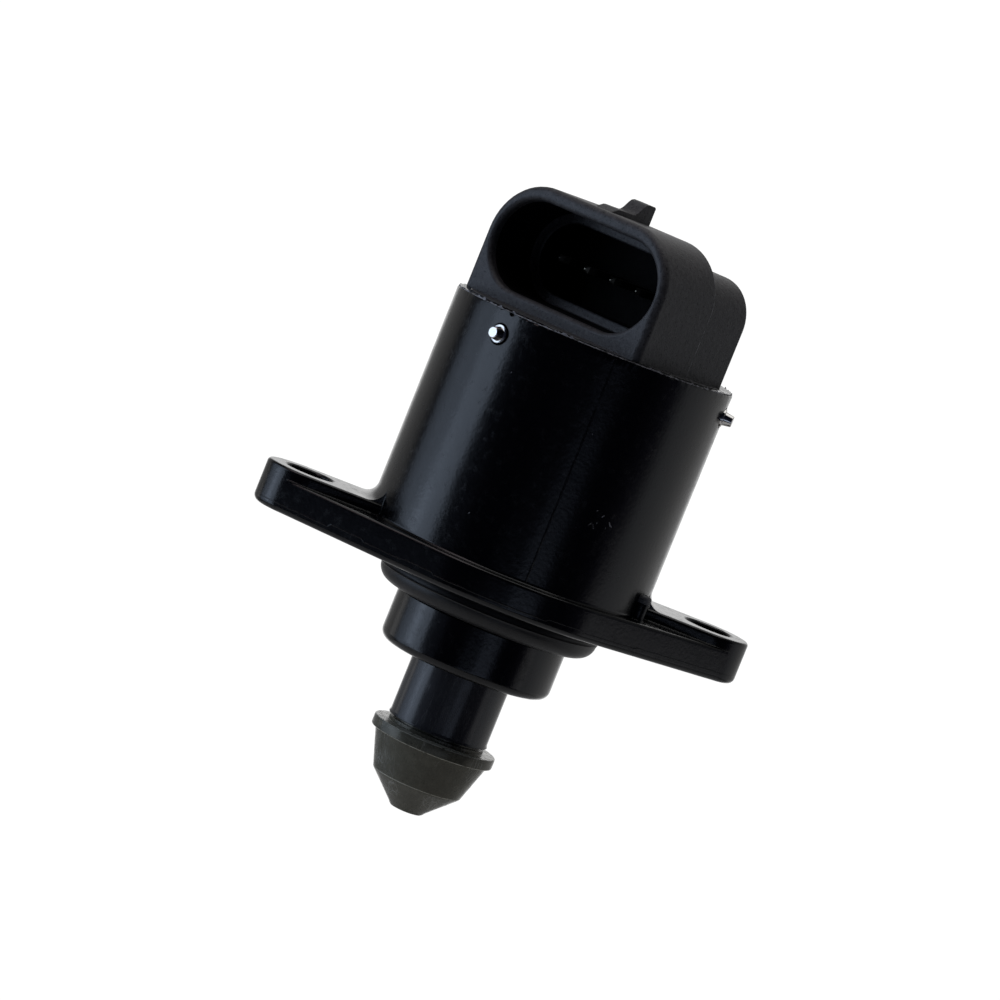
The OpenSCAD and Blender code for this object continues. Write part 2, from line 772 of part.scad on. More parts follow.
// Rotor nut: moulded hub that carries the magnet, runs in both bearings and drives the lead screw
module rotor_nut() {
    lower_r = bearing_id / 2 - seat_gap;
    land_r = ball_path_r - race_land - 0.2;
    color([0.8, 0.78, 0.7])
        rotate_extrude()
            polygon([
                [screw_r + run_gap, bearing_z], [lower_r, bearing_z], [lower_r, bearing_top],
                [land_r, bearing_top], [land_r, magnet_z], [nut_r, magnet_z], [nut_r, magnet_z + magnet_l],
                [land_r, magnet_z + magnet_l], [land_r, nut_top], [journal_d / 2, nut_top],
                [journal_d / 2, nut_end], [screw_r + run_gap, nut_end]]);
}

// Lead screw: fixed in the pintle tip, with a bevelled upper end
module lead_screw() {
    color([0.7, 0.71, 0.73])
        translate([0, 0, screw_z])
            rotate_extrude($fn = 48)
                polygon([[0, 0], [screw_r, 0], [screw_r, screw_l - 0.5], [screw_r - 0.5, screw_l], [0, screw_l]]);
}

// Plunger tube: slides in the nose, with two keys at its top that stop it turning
module plunger_tube() {
    color([0.05, 0.05, 0.055])
        difference() {
            union() {
                rotate_extrude()
                    polygon([
                        [tube_r - tube_wall, -tube_reach], [tube_r - 0.1, -tube_reach],
                        [tube_r + lip_out, 0.1 - tube_reach], [tube_r, 0.4 - tube_reach],
                        [tube_r, tube_top], [tube_r - tube_wall, tube_top]]);
                translate([-key_r, -key_w / 2, tube_top - key_h]) cube([2 * key_r, key_w, key_h]);
            }
            translate([0, 0, tube_top - key_h - 1]) cylinder(r = tube_r - tube_wall, h = key_h + 2);
        }
}

// Pintle tip: spigot in the tube, neck, collar and the two cones that meter the air
module pintle_tip() {
    spigot_r = tube_r - tube_wall - seat_gap;
    neck_r = tube_r - 0.12;
    edge = 0.15;
    color([0.28, 0.27, 0.25])
        difference() {
            rotate_extrude()
                polygon([
                    [0, tip_z], [end_d / 2 - 0.35, tip_z], [end_d / 2 - 0.08, tip_z + 0.12],
                    [end_d / 2 + 0.2, tip_z + 0.42],
                    [cone_mid_d / 2 - 0.25, mid_z - 0.28], [cone_mid_d / 2, mid_z],
                    [cone_mid_d / 2 + 0.12, mid_z + 0.35],
                    [cone_top_d / 2, cone_z], [collar_d / 2 - edge, cone_z], [collar_d / 2, cone_z + edge],
                    [collar_d / 2, collar_z - edge], [collar_d / 2 - edge, collar_z],
                    [neck_r, collar_z], [neck_r, neck_z], [spigot_r + 0.6, neck_z],
                    [spigot_r + 0.6, -tube_reach], [spigot_r, -tube_reach],
                    [spigot_r, spigot_z], [0, spigot_z]]);
            translate([0, 0, screw_z]) cylinder(r = screw_r, h = spigot_z - screw_z + 1, $fn = 48);
        }
}

housing();
flange_seal();
connector_cap();
cap_seal();
retaining_pin_1();
retaining_pin_2();
retaining_pin_3();
terminal_1();
terminal_2();
terminal_3();
terminal_4();
lower_stator_cup();
lower_pole_plate();
upper_pole_plate();
upper_stator_cup();
lower_bobbin();
upper_bobbin();
lower_winding();
upper_winding();
wave_washer();
upper_bush();
spring_seat();
return_spring();
bearing_outer_race();
bearing_inner_race();
bearing_balls();
bearing_cage();
rotor_magnet();
rotor_nut();
lead_screw();
plunger_tube();
pintle_tip();
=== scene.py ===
import json
import math

import bmesh
import bpy
from mathutils import Matrix, Vector, noise


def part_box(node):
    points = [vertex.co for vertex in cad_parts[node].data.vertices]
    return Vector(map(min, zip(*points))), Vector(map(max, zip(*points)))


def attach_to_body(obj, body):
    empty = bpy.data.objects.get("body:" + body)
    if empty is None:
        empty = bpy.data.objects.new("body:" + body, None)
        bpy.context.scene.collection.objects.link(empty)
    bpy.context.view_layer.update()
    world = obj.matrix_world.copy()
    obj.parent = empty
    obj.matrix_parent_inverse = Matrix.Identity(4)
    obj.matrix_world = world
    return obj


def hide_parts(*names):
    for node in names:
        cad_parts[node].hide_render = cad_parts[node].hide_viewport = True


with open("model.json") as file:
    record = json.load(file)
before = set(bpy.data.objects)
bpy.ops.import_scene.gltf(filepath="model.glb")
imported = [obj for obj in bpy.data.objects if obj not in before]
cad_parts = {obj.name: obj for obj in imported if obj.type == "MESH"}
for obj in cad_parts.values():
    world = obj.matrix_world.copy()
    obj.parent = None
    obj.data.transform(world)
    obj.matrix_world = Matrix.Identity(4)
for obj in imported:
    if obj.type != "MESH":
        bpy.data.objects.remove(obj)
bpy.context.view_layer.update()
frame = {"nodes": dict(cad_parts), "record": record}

bl_info = {
    "name": "Idle air control valve",
    "version": (1, 0, 0),
    "blender": (4, 5, 0),
    "location": "View3D > Sidebar > Valve",
    "description": "Dresses the pieces of an idle air control valve and sets up its studio",
    "category": "Object",
}

MM = 0.001
MOUNTS = {m["name"]: m for m in frame["record"]["mounts"]}
HOLES = MOUNTS["flange_holes"]["dims"]
SPIGOT = MOUNTS["nose_spigot"]["dims"]
SOCKET = Vector(MOUNTS["plug_socket"]["pos_m"])


def high(node):
    """Highest corner of a CAD node."""
    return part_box(node)[1]


def low(node):
    """Lowest corner of a CAD node."""
    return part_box(node)[0]


def length(title, text, default):
    """A size in metres that a user may change."""
    return bpy.props.FloatProperty(
        name=title, description=text, default=default, min=0, unit="LENGTH", precision=5)


def offset(title, text, default):
    """A distance in metres to either side."""
    return bpy.props.FloatProperty(
        name=title, description=text, default=default, unit="LENGTH", precision=5)


def tilt(title, text, degrees):
    """An angle, given here in degrees."""
    return bpy.props.FloatProperty(
        name=title, description=text, default=math.radians(degrees), subtype="ANGLE")


def colour(title, text, default):
    """A finish's base colour, in linear light."""
    return bpy.props.FloatVectorProperty(
        name=title, description=text, default=default, size=3, subtype="COLOR", min=0, max=1)


# Sizes and colours

class ValveSizes(bpy.types.PropertyGroup):
    """Sizes of the visible pieces."""

    body_r: length("Body radius", "Radius of the housing's round body", 17.075 * MM)
    body_wall: length("Body wall", "Wall of the body beside the motor", 1.6 * MM)
    body_top: length("Body top", "Height of the body's rim", 31.75 * MM)
    rim_bevel: length("Rim bevel", "Bevel round the body's rim", 0.4 * MM)
    foot_fillet: length("Foot fillet", "Fillet where the body meets the flange", 0.4 * MM)
    floor_t: length("Floor thickness", "Floor between the flange's face and the motor", 2.2 * MM)
    plate_t: length("Plate thickness", "Thickness of the flange plate", 3.9 * MM)
    plate_edge: length("Plate edge", "How far the plate's middle stands out past the body", 1.1 * MM)
    ear_t: length("Ear thickness", "Thickness at the raised ears", 5.22 * MM)
    ear_r: length("Ear radius", "Radius of each ear's round end", 5.1 * MM)
    low_round: length("Lower rounding", "Rounding of the flange's lower edge", 0.8 * MM)
    top_round: length("Upper rounding", "Rounding of the flange's upper edges", 0.4 * MM)
    root_fillet: length("Root fillet", "Fillet where an ear runs up into the body", 1.8 * MM)
    nose_l: length("Nose length", "How far the nose reaches below the mounting face", 9.6 * MM)
    nose_round: length("Nose rounding", "Rounding of the nose's lower edge", 1.2 * MM)
    step_r: length("Step radius", "Radius of the step above the seal", 13.55 * MM)
    step_h: length("Step height", "Height of the step above the seal", 0.45 * MM)
    seal_cord: length("Seal section", "Section diameter of the flange seal", 3.8 * MM)
    seal_r: length("Seal radius", "Outer radius of the flange seal", 13.45 * MM)
    seal_low: length("Seal foot", "How far the seal stands below the mounting face", 3.15 * MM)
    seal_sag: length("Seal sag", "How much lower the seal hangs on its right side", 0.2 * MM)
    seat_cut: length("Seal seat", "Depth of the seal's seat round the spigot", 0.3 * MM)
    tube_r: length("Tube radius", "Radius of the plunger tube", 6.0 * MM)
    tube_wall: length("Tube wall", "Wall of the plunger tube", 1.2 * MM)
    block_w: length("Block width", "Width of the cap's block", 27.2 * MM)
    block_r: length("Block corners", "Radius of the block's upper corners", 7.0 * MM)
    block_top: length("Block top", "Height of the block's top", 46.05 * MM)
    front_depth: length("Front depth", "Depth of the block's front part", 10.1 * MM)
    rear_depth: length("Rear depth", "Depth of the block's rear part", 7.2 * MM)
    rear_drop: length("Rear drop", "How much lower the rear part's top is", 2.2 * MM)
    rear_r: length("Rear corners", "Radius of the rear part's upper corners", 5.0 * MM)
    seam_round: length("Seam rounding", "Rounding where the front part ends", 0.2 * MM)
    mouth_w: length("Mouth width", "Width of the socket's mouth", 24.6 * MM)
    mouth_h: length("Mouth height", "Height of the socket's mouth", 11.0 * MM)
    mouth_depth: length("Mouth depth", "Depth of the mouth's outer stretch", 8.0 * MM)
    mouth_lip: length("Mouth lip", "Rounding of the socket's mouth", 0.6 * MM)
    lip_depth: length("Lip depth", "Depth at which the mouth's handled rim ends", 1.1 * MM)
    mouth_step: length("Mouth step", "How much the inner stretch is set in", 1.1 * MM)
    socket_depth: length("Socket depth", "Whole depth of the socket", 12.0 * MM)
    blade_pitch: length("Blade pitch", "Distance from one terminal to the next", 4.0 * MM)
    blade_reach: length("Blade reach", "How far the terminals stand in the socket", 6.5 * MM)
    lug_w: length("Lug width", "Width of the latch lug", 2.5 * MM)
    pin_r: length("Pin radius", "Radius of a retaining pin", 1.1 * MM)
    pin_out: length("Pin reach", "How far a retaining pin stands out of the body", 1.25 * MM)
    pin_length: length("Pin length", "Length of a retaining pin", 5.0 * MM)
    pin_taper: length("Pin taper", "Length of a retaining pin's tapered end", 1.1 * MM)
    pin_waist: length("Pin waist", "Radius below a retaining pin's shoulder", 0.84 * MM)
    pin_end_r: length("Pin end", "Radius of a retaining pin's flat end", 0.62 * MM)
    gap_h: length("Gap height", "Height of the gap between tube and pintle", 0.3 * MM)
    neck_h: length("Neck height", "Height of the pintle's neck above its collar", 0.45 * MM)
    collar_h: length("Collar height", "Thickness of the pintle's collar", 1.3 * MM)
    cone_h: length("Cone height", "Height of the pintle's upper cone", 4.6 * MM)
    cone_r: length("Cone radius", "Radius of the upper cone under the collar", 6.97 * MM)
    mid_r: length("Middle radius", "Radius where the two cones meet", 5.45 * MM)
    end_r: length("End radius", "Radius of the pintle's end", 2.05 * MM)


class ValveColours(bpy.types.PropertyGroup):
    """Base colours of the finishes."""

    housing: colour("Housing", "Glossy black moulding", (0.0004, 0.0004, 0.0010))
    cap: colour("Connector cap", "Satin charcoal moulding", (0.0500, 0.0485, 0.0510))
    rubber: colour("Rubber", "Black rubber of the seals", (0.0030, 0.0030, 0.0034))
    tube: colour("Plunger tube", "Black moulding with pale specks", (0.0300, 0.0300, 0.0340))
    tip: colour("Pintle tip", "Grey-olive moulding", (0.0800, 0.0780, 0.0590))
    pins: colour("Pins", "Nickel plate", (0.78, 0.76, 0.73))
    copper: colour("Windings", "Enamelled copper wire", (0.60, 0.22, 0.08))


class ValveStudio(bpy.types.PropertyGroup):
    """Camera and floor."""

    azimuth: tilt("Azimuth", "Camera's turn round the valve", -7.486)
    elevation: tilt("Elevation", "Camera's height as an angle", 5.24)
    roll: tilt("Roll", "Camera's turn about its own axis", 22.02)
    distance: length("Distance", "Distance from the camera to its target", 548 * MM)
    lens: bpy.props.FloatProperty(
        name="Lens", description="Focal length in millimetres", default=169.93, min=1)
    aim_side: offset("Aim sideways", "Target's offset along the camera's level right", -3.30 * MM)
    aim_up: offset("Aim up", "Target's offset along the camera's level up", 10.14 * MM)
    floor_drop: length("Floor drop", "Distance of the floor below the mounting face", 120 * MM)


def sizes():
    """The scene's sizes of the valve."""
    return bpy.context.scene.valve_sizes


def colours():
    """The scene's base colours."""
    return bpy.context.scene.valve_colours


# Mesh helpers

def arc(cx, cz, r, start, end, steps):
    """Points of an arc in the plane, angles in degrees."""
    angles = [math.radians(start + (end - start) * i / steps) for i in range(steps + 1)]
    return [(cx + r * math.cos(a), cz + r * math.sin(a)) for a in angles]


def solid(name, verts, faces):
    """A closed mesh object with its faces turned outwards."""
    mesh = bpy.data.meshes.new(name)
    mesh.from_pydata([tuple(v) for v in verts], [], faces)
    build = bmesh.new()
    build.from_mesh(mesh)
    bmesh.ops.remove_doubles(build, verts=build.verts, dist=1e-7)
    bmesh.ops.recalc_face_normals(build, faces=build.faces)
    build.to_mesh(mesh)
    build.free()
    piece = bpy.data.objects.new(name, mesh)
    bpy.context.scene.collection.objects.link(piece)
    return piece


def lathe(name, profile, segments=192, ring=True, shape=None):
    """Turns (radius, height) points round Z. A ring profile closes on itself, the other ends on the axis.
    shape(index, angle) may move a point of the profile by (radius, height)."""
    verts = []
    rows = []
    for k, (r, z) in enumerate(profile):
        if r < 1e-8:
            rows.append([len(verts)] * segments)
            verts.append((0, 0, z))
            continue
        row = []
        for i in range(segments):
            a = 2 * math.pi * i / segments
            dr, dz = shape(k, a) if shape else (0, 0)
            row.append(len(verts))
            verts.append(((r + dr) * math.cos(a), (r + dr) * math.sin(a), z + dz))
        rows.append(row)
    faces = []
    for k in range(len(rows) if ring else len(rows) - 1):
        a, b = rows[k], rows[(k + 1) % len(rows)]
        for i in range(segments):
            j = (i + 1) % segments
            corners = list(dict.fromkeys((a[i], a[j], b[j], b[i])))
            if len(corners) > 2:
                faces.append(corners)
    return solid(name, verts, faces)


def loft(name, loops):
    """A closed solid through loops of as many points each, with flat ends."""
    count = len(loops[0])
    verts = [p for one in loops for p in one]
    faces = [list(range(count)), list(range(len(verts) - count, len(verts)))]
    for k in range(len(loops) - 1):
        for i in range(count):
            j = (i + 1) % count
            faces.append((k * count + i, k * count + j, (k + 1) * count + j, (k + 1) * count + i))
    return solid(name, verts, faces)


def evaluated(piece):
    """Applies a piece's modifiers to its mesh."""
    graph = bpy.context.evaluated_depsgraph_get()
    mesh = bpy.data.meshes.new_from_object(piece.evaluated_get(graph))
    piece.modifiers.clear()
    piece.data = mesh
    return piece


def combine(piece, other, operation):
    """Joins (UNION) or cuts (DIFFERENCE) with another solid, which is used up."""
    modifier = piece.modifiers.new("combine", "BOOLEAN")
    modifier.operation = operation
    modifier.solver = "EXACT"
    modifier.object = other
    bpy.context.view_layer.update()
    evaluated(piece)
    bpy.data.objects.remove(other)
    return piece


def fuse(piece, *others):
    """Joins solids to a piece."""
    for other in others:
        combine(piece, other, "UNION")
    return piece


def cut(piece, *others):
    """Cuts solids out of a piece."""
    for other in others:
        combine(piece, other, "DIFFERENCE")
    return piece


def rounded(piece, width, steps=2, angle=30):
    """Rounds a solid's sharp edges."""
    modifier = piece.modifiers.new("round", "BEVEL")
    modifier.width = width
    modifier.segments = steps
    modifier.limit_method = "ANGLE"
    modifier.angle_limit = math.radians(angle)
    bpy.context.view_layer.update()
    return evaluated(piece)


def placed(piece, matrix):
    """Moves a piece's mesh, so that its object stays at the origin."""
    piece.data.transform(matrix)
    return piece


def smooth(piece, angle=28):
    """Smooth shading that stays crisp at edges, with normals that follow the larger faces."""
    for polygon in piece.data.polygons:
        polygon.use_smooth = True
    piece.data.set_sharp_from_angle(angle=math.radians(angle))
    modifier = piece.modifiers.new("normals", "WEIGHTED_NORMAL")
    modifier.keep_sharp = True
    bpy.context.view_layer.update()
    return evaluated(piece)


def rod(name, r, start, end, segments=96):
    """A plain round cutter between two points."""
    axis = Vector(end) - Vector(start)
    piece = lathe(name, [(0, 0), (r, 0), (r, axis.length), (0, axis.length)], segments, ring=False)
    turn = axis.to_track_quat("Z", "Y").to_matrix().to_4x4()
    return placed(piece, Matrix.Translation(start) @ turn)


def brick(name, lo, hi):
    """A plain box cutter between two corners."""
    corners = [(lo[0], lo[1]), (hi[0], lo[1]), (hi[0], hi[1]), (lo[0], hi[1])]
    return loft(name, [[(x, y, z) for x, y in corners] for z in (lo[2], hi[2])])


def dress(piece, finish):
    """Gives a piece its finish, in every material slot."""
    piece.data.materials.clear()
    piece.data.materials.append(finish)
    return piece


def stand_for(piece, node, body, finish):
    """Finishes a modelled piece and lets it stand for its CAD node."""
    smooth(piece)
    dress(piece, finish)
    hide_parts(node)
    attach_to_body(piece, body)


def attach(piece, body, finish):
    """Finishes a small modelled piece that no CAD node has, and lets it ride on its body."""
    smooth(piece)
    dress(piece, finish)
    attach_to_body(piece, body)


def paint(node, finish):
    """Gives a CAD node that stays its finish."""
    shown = frame["nodes"][node]
    for slot in shown.material_slots:
        slot.material = finish
    if not shown.material_slots:
        shown.data.materials.append(finish)


# Finishes

class Finish:
    """A material that is put together node by node round one Principled shader."""

    def __init__(self, name, base, roughness, metallic=0.0, ior=1.5):
        self.material = bpy.data.materials.new(name)
        self.material.use_nodes = True
        self.tree = self.material.node_tree
        self.shader = self.tree.nodes["Principled BSDF"]
        self.shader.inputs["Base Color"].default_value = (*base, 1)
        self.shader.inputs["Roughness"].default_value = roughness
        self.shader.inputs["Metallic"].default_value = metallic
        self.shader.inputs["IOR"].default_value = ior
        self.base = base
        self.roughness = roughness
        self.height = None
        self.place = self.add("ShaderNodeTexCoord").outputs["Object"]

    def add(self, kind, **values):
        """A new node with these settings."""
        made = self.tree.nodes.new(kind)
        for key, value in values.items():
            setattr(made, key, value)
        return made

    def link(self, output, target):
        """Connects a node's output to a socket."""
        self.tree.links.new(output, target)

    def noise(self, size, detail=3.0, stretch=(1, 1, 1), rough=0.5):
        """Noise from 0 to 1 with features of about that size, longer along an axis where stretch is low."""
        mapping = self.add("ShaderNodeMapping")
        mapping.inputs["Scale"].default_value = [s / size for s in stretch]
        self.link(self.place, mapping.inputs["Vector"])
        made = self.add("ShaderNodeTexNoise")
        made.inputs["Scale"].default_value = 1.0
        made.inputs["Detail"].default_value = detail
        made.inputs["Roughness"].default_value = rough
        self.link(mapping.outputs["Vector"], made.inputs["Vector"])
        return made.outputs["Fac"]

    def specks(self, spacing, share, size):
        """A mask of small round specks: one cell in each spacing, of which a share holds a speck."""
        mapping = self.add("ShaderNodeMapping")
        mapping.inputs["Scale"].default_value = [1 / spacing] * 3
        self.link(self.place, mapping.inputs["Vector"])
        cells = self.add("ShaderNodeTexVoronoi")
        cells.inputs["Scale"].default_value = 1.0
        self.link(mapping.outputs["Vector"], cells.inputs["Vector"])
        near = self.ramp(cells.outputs["Distance"], size / spacing, 0.6 * size / spacing)
        split = self.add("ShaderNodeSeparateColor")
        self.link(cells.outputs["Color"], split.inputs["Color"])
        chosen = self.math("LESS_THAN", split.outputs["Red"], share)
        return self.math("MULTIPLY", near, chosen)

    def ramp(self, value, low_end, high_end, out_low=0.0, out_high=1.0):
        """Maps a value smoothly from one range to another, held at both ends."""
        made = self.add("ShaderNodeMapRange", interpolation_type="SMOOTHSTEP")
        if low_end > high_end:
            low_end, high_end, out_low, out_high = high_end, low_end, out_high, out_low
        made.inputs["From Min"].default_value = low_end
        made.inputs["From Max"].default_value = high_end
        made.inputs["To Min"].default_value = out_low
        made.inputs["To Max"].default_value = out_high
        self.link(value, made.inputs["Value"])
        return made.outputs["Result"]

    def math(self, operation, a, b):
        """A sum or the like of two numbers or outputs."""
        made = self.add("ShaderNodeMath", operation=operation)
        for socket, value in zip(made.inputs, (a, b)):
            if isinstance(value, (int, float)):
                socket.default_value = value
            else:
                self.link(value, socket)
        return made.outputs["Value"]

    def tint(self, mask, other):
        """Blends another colour over what the base colour is now."""
        mix = self.add("ShaderNodeMix", data_type="RGBA")
        target = self.shader.inputs["Base Color"]
        if target.links:
            self.link(target.links[0].from_socket, mix.inputs["A"])
        else:
            mix.inputs["A"].default_value = (*self.base, 1)
        mix.inputs["B"].default_value = (*other, 1)
        self.link(mask, mix.inputs["Factor"])
        self.link(mix.outputs["Result"], target)

    def roughen(self, mask, amount):
        """Adds to the roughness where the mask is high."""
        target = self.shader.inputs["Roughness"]
        now = target.links[0].from_socket if target.links else self.roughness
        self.link(self.math("ADD", now, self.math("MULTIPLY", mask, amount)), target)

    def bump(self, height, depth):
        """Adds relief of about that depth in metres."""
        made = self.add("ShaderNodeBump")
        made.inputs["Strength"].default_value = 1.0
        made.inputs["Distance"].default_value = depth
        self.link(height, made.inputs["Height"])
        if self.height:
            self.link(self.height, made.inputs["Normal"])
        self.height = made.outputs["Normal"]
        self.link(self.height, self.shader.inputs["Normal"])

    def patches(self, other, start, end, size, detail=4.0, **noise_values):
        """Blends another colour in where noise of that size passes start, fully from end on."""
        self.tint(self.ramp(self.noise(size, detail, **noise_values), start, end), other)

    def uneven(self, amount, size, detail=3.0, **noise_values):
        """Adds up to that amount to the roughness in spots of that size."""
        self.roughen(self.noise(size, detail, **noise_values), amount)

    def grain(self, depth, size, detail=3.0, **noise_values):
        """Adds relief of that depth with grains of that size."""
        self.bump(self.noise(size, detail, **noise_values), depth)

    def level_line(self, level, half):
        """A mask of a thin line round Z at that height, broken here and there by noise."""
        split = self.add("ShaderNodeSeparateXYZ")
        self.link(self.place, split.inputs["Vector"])
        away = self.math("ABSOLUTE", self.math("SUBTRACT", split.outputs["Z"], level), 0)
        line = self.ramp(away, half, 0.4 * half)
        kept = self.ramp(self.noise(0.9 * MM, 3.0), 0.30, 0.42)
        return self.math("MULTIPLY", line, kept)

    def soft_edges(self, radius):
        """Rounds edges in the shading by that radius."""
        made = self.add("ShaderNodeBevel", samples=4)
        made.inputs["Radius"].default_value = radius
        self.height = made.outputs["Normal"]
        self.link(self.height, self.shader.inputs["Normal"])

    def scratches(self, spacing, share, turn, width=0.02):
        """A mask of fine straight scratches in one direction, of that width as a share of their spacing."""
        mapping = self.add("ShaderNodeMapping")
        mapping.inputs["Rotation"].default_value = turn
        mapping.inputs["Scale"].default_value = (1 / spacing, 1 / spacing, 0.06 / spacing)
        self.link(self.place, mapping.inputs["Vector"])
        cells = self.add("ShaderNodeTexVoronoi", feature="DISTANCE_TO_EDGE")
        cells.inputs["Scale"].default_value = 1.0
        self.link(mapping.outputs["Vector"], cells.inputs["Vector"])
        line = self.ramp(cells.outputs["Distance"], width, 0.0)
        patch = self.ramp(self.noise(6 * spacing, 1.0), 1 - share, 1 - 0.7 * share)
        return self.math("MULTIPLY", line, patch)


def gloss_black():
    """The housing's plastic: glossy, with faint flow marks, fine peel, hairline scratches and dust."""
    finish = Finish("gloss black moulding", colours().housing, 0.16)
    finish.soft_edges(0.12 * MM)
    finish.patches((0.0008, 0.0008, 0.0019), 0.35, 0.75, 7 * MM, stretch=(1, 1, 0.35))
    finish.uneven(0.06, 3.5 * MM, 4.0)
    worn = finish.ramp(finish.noise(1.0 * MM, 5.0, rough=0.65), 0.5, 0.7)
    finish.roughen(worn, 0.10)
    finish.roughen(finish.scratches(1.4 * MM, 0.30, (0.5, 0.3, 0.2)), 0.07)
    dust = finish.specks(1.9 * MM, 0.022, 0.06 * MM)
    finish.tint(dust, (0.06, 0.06, 0.07))
    finish.roughen(dust, 0.5)
    finish.grain(0.012 * MM, 0.40 * MM)
    finish.grain(0.012 * MM, 2.6 * MM, 2.0)
    return finish.material


def pale_scuff_and_highlight():
    """Torn edges and scuffs of the black plastic, which turn pale; the same pale finish is also put on the
    cap's seam rounding as a painted highlight.
    """
    finish = Finish("torn plastic and painted highlight", (0.30, 0.30, 0.32), 0.5)
    finish.patches((0.012, 0.012, 0.015), 0.42, 0.64, 0.5 * MM)
    finish.uneven(0.2, 0.3 * MM, 2.0)
    finish.grain(0.01 * MM, 0.1 * MM, 2.0)
    return finish.material


def painted_highlight_black():
    """Pale grey on the ejector post's domed top: a painted highlight standing in for the light that the top
    reflects.
    """
    finish = Finish("black moulding with painted highlight", (0.15, 0.15, 0.155), 0.42)
    finish.patches((0.06, 0.06, 0.065), 0.45, 0.75, 0.6 * MM)
    finish.uneven(0.15, 0.4 * MM)
    finish.grain(0.010 * MM, 0.2 * MM, 2.0)
    return finish.material


def satin_charcoal():
    """The cap's plastic: a fine spark-eroded grain, a little paler where it has been handled."""
    finish = Finish("satin charcoal moulding", colours().cap, 0.42)
    finish.soft_edges(0.10 * MM)
    finish.patches((0.0490, 0.0480, 0.0500), 0.4, 0.8, 5 * MM)
    finish.patches((0.0900, 0.0885, 0.0920), 0.40, 0.66, 0.5 * MM, rough=0.7)
    finish.patches((0.0150, 0.0145, 0.0160), 0.54, 0.70, 0.25 * MM, 2.0)
    finish.uneven(0.14, 0.5 * MM)
    finish.tint(finish.specks(2.2 * MM, 0.06, 0.06 * MM), (0.11, 0.11, 0.115))
    finish.grain(0.040 * MM, 0.20 * MM)
    finish.grain(0.040 * MM, 0.7 * MM)
    return finish.material


def painted_socket_shade():
    """Near-black, low-gloss plastic on the walls deep in the socket: painted shade, standing in for the dark
    that falls there.
    """
    finish = Finish("charcoal with painted socket shade", (0.0012, 0.0012, 0.0016), 0.6)
    finish.shader.inputs["Specular IOR Level"].default_value = 0.12
    finish.patches((0.0020, 0.0020, 0.0024), 0.4, 0.8, 1.5 * MM, 3.0)
    finish.uneven(0.15, 0.5 * MM)
    finish.grain(0.010 * MM, 0.2 * MM, 2.0)
    return finish.material


def black_rubber():
    """The seals' rubber: soft sheen, faint mould bloom and fine lint."""
    finish = Finish("black rubber", colours().rubber, 0.36, ior=1.52)
    finish.patches((0.0055, 0.0055, 0.0060), 0.5, 0.8, 2.5 * MM)
    finish.tint(finish.specks(1.3 * MM, 0.08, 0.05 * MM), (0.07, 0.07, 0.07))
    finish.uneven(0.14, 0.8 * MM)
    finish.grain(0.008 * MM, 0.3 * MM)
    return finish.material


def speckled_black():
    """The plunger tube's plastic: glossy, with fine pale fibre specks and streaks along its travel."""
    finish = Finish("speckled black moulding", colours().tube, 0.20)
    finish.soft_edges(0.06 * MM)
    finish.tint(finish.specks(0.55 * MM, 0.16, 0.05 * MM), (0.090, 0.092, 0.098))
    streaks = finish.ramp(finish.noise(0.8 * MM, 5.0, (1, 1, 0.22), 0.65), 0.5, 0.72)
    finish.tint(streaks, (0.0440, 0.0440, 0.0480))
    finish.roughen(streaks, 0.16)
    finish.roughen(finish.scratches(0.9 * MM, 0.5, (0.35, 0.2, 0.0)), 0.2)
    finish.grain(0.003 * MM, 0.28 * MM, 2.0)
    finish.grain(0.006 * MM, 0.9 * MM, 4.0, stretch=(1, 1, 0.3))
    return finish.material


def olive_grey(edges):
    """The pintle tip's plastic: mottled grey-olive with a worn gloss, scuffs and fine scratches, and pale
    painted highlights along the edges at the given heights."""
    finish = Finish("grey olive moulding", colours().tip, 0.19)
    finish.soft_edges(0.05 * MM)
    finish.patches((0.1080, 0.1050, 0.0800), 0.42, 0.75, 1.1 * MM, 5.0)
    finish.patches((0.0380, 0.0368, 0.0290), 0.60, 0.76, 0.35 * MM, 3.0)
    finish.shader.inputs["Specular Tint"].default_value = (1.0, 0.95, 0.82, 1)
    for turn in ((0.9, 0.3, 0.0), (-0.7, 0.6, 0.4)):
        scuffs = finish.scratches(0.7 * MM, 0.46, turn, 0.06)
        finish.tint(scuffs, (0.26, 0.26, 0.23))
        finish.roughen(scuffs, 0.2)
    finish.roughen(finish.ramp(finish.noise(0.8 * MM, 5.0), 0.4, 0.65), 0.12)
    # Painted highlights: pale lines where the collar's and the cones' edges catch the light
    for level in edges:
        finish.tint(finish.level_line(level, 0.075 * MM), (0.42, 0.41, 0.34))
    finish.grain(0.006 * MM, 0.22 * MM)
    finish.grain(0.010 * MM, 0.9 * MM)
    return finish.material


def nickel():
    """Bright nickel plate with faint turning marks."""
    finish = Finish("nickel plate", colours().pins, 0.09, metallic=1.0)
    finish.uneven(0.10, 0.5 * MM, 4.0)
    finish.patches((0.50, 0.48, 0.46), 0.55, 0.85, 0.7 * MM, 3.0)
    finish.grain(0.003 * MM, 0.16 * MM, 2.0)
    return finish.material


def metal(name, base, dark, roughness, grain):
    """A metal with streaks of about the grain's size and a darker bloom."""
    finish = Finish(name, base, roughness, metallic=1.0)
    finish.patches(dark, 0.45, 0.8, 4 * grain)
    finish.uneven(0.18, grain, stretch=(1, 1, 0.2))
    finish.grain(0.004 * MM, 0.5 * grain, 2.0, stretch=(1, 1, 0.3))
    return finish.material


def moulding(name, base, dark, roughness):
    """A natural moulded plastic with soft cloudiness."""
    finish = Finish(name, base, roughness)
    finish.patches(dark, 0.4, 0.8, 2.0 * MM)
    finish.uneven(0.15, 0.7 * MM)
    finish.grain(0.008 * MM, 0.3 * MM, 2.0)
    return finish.material


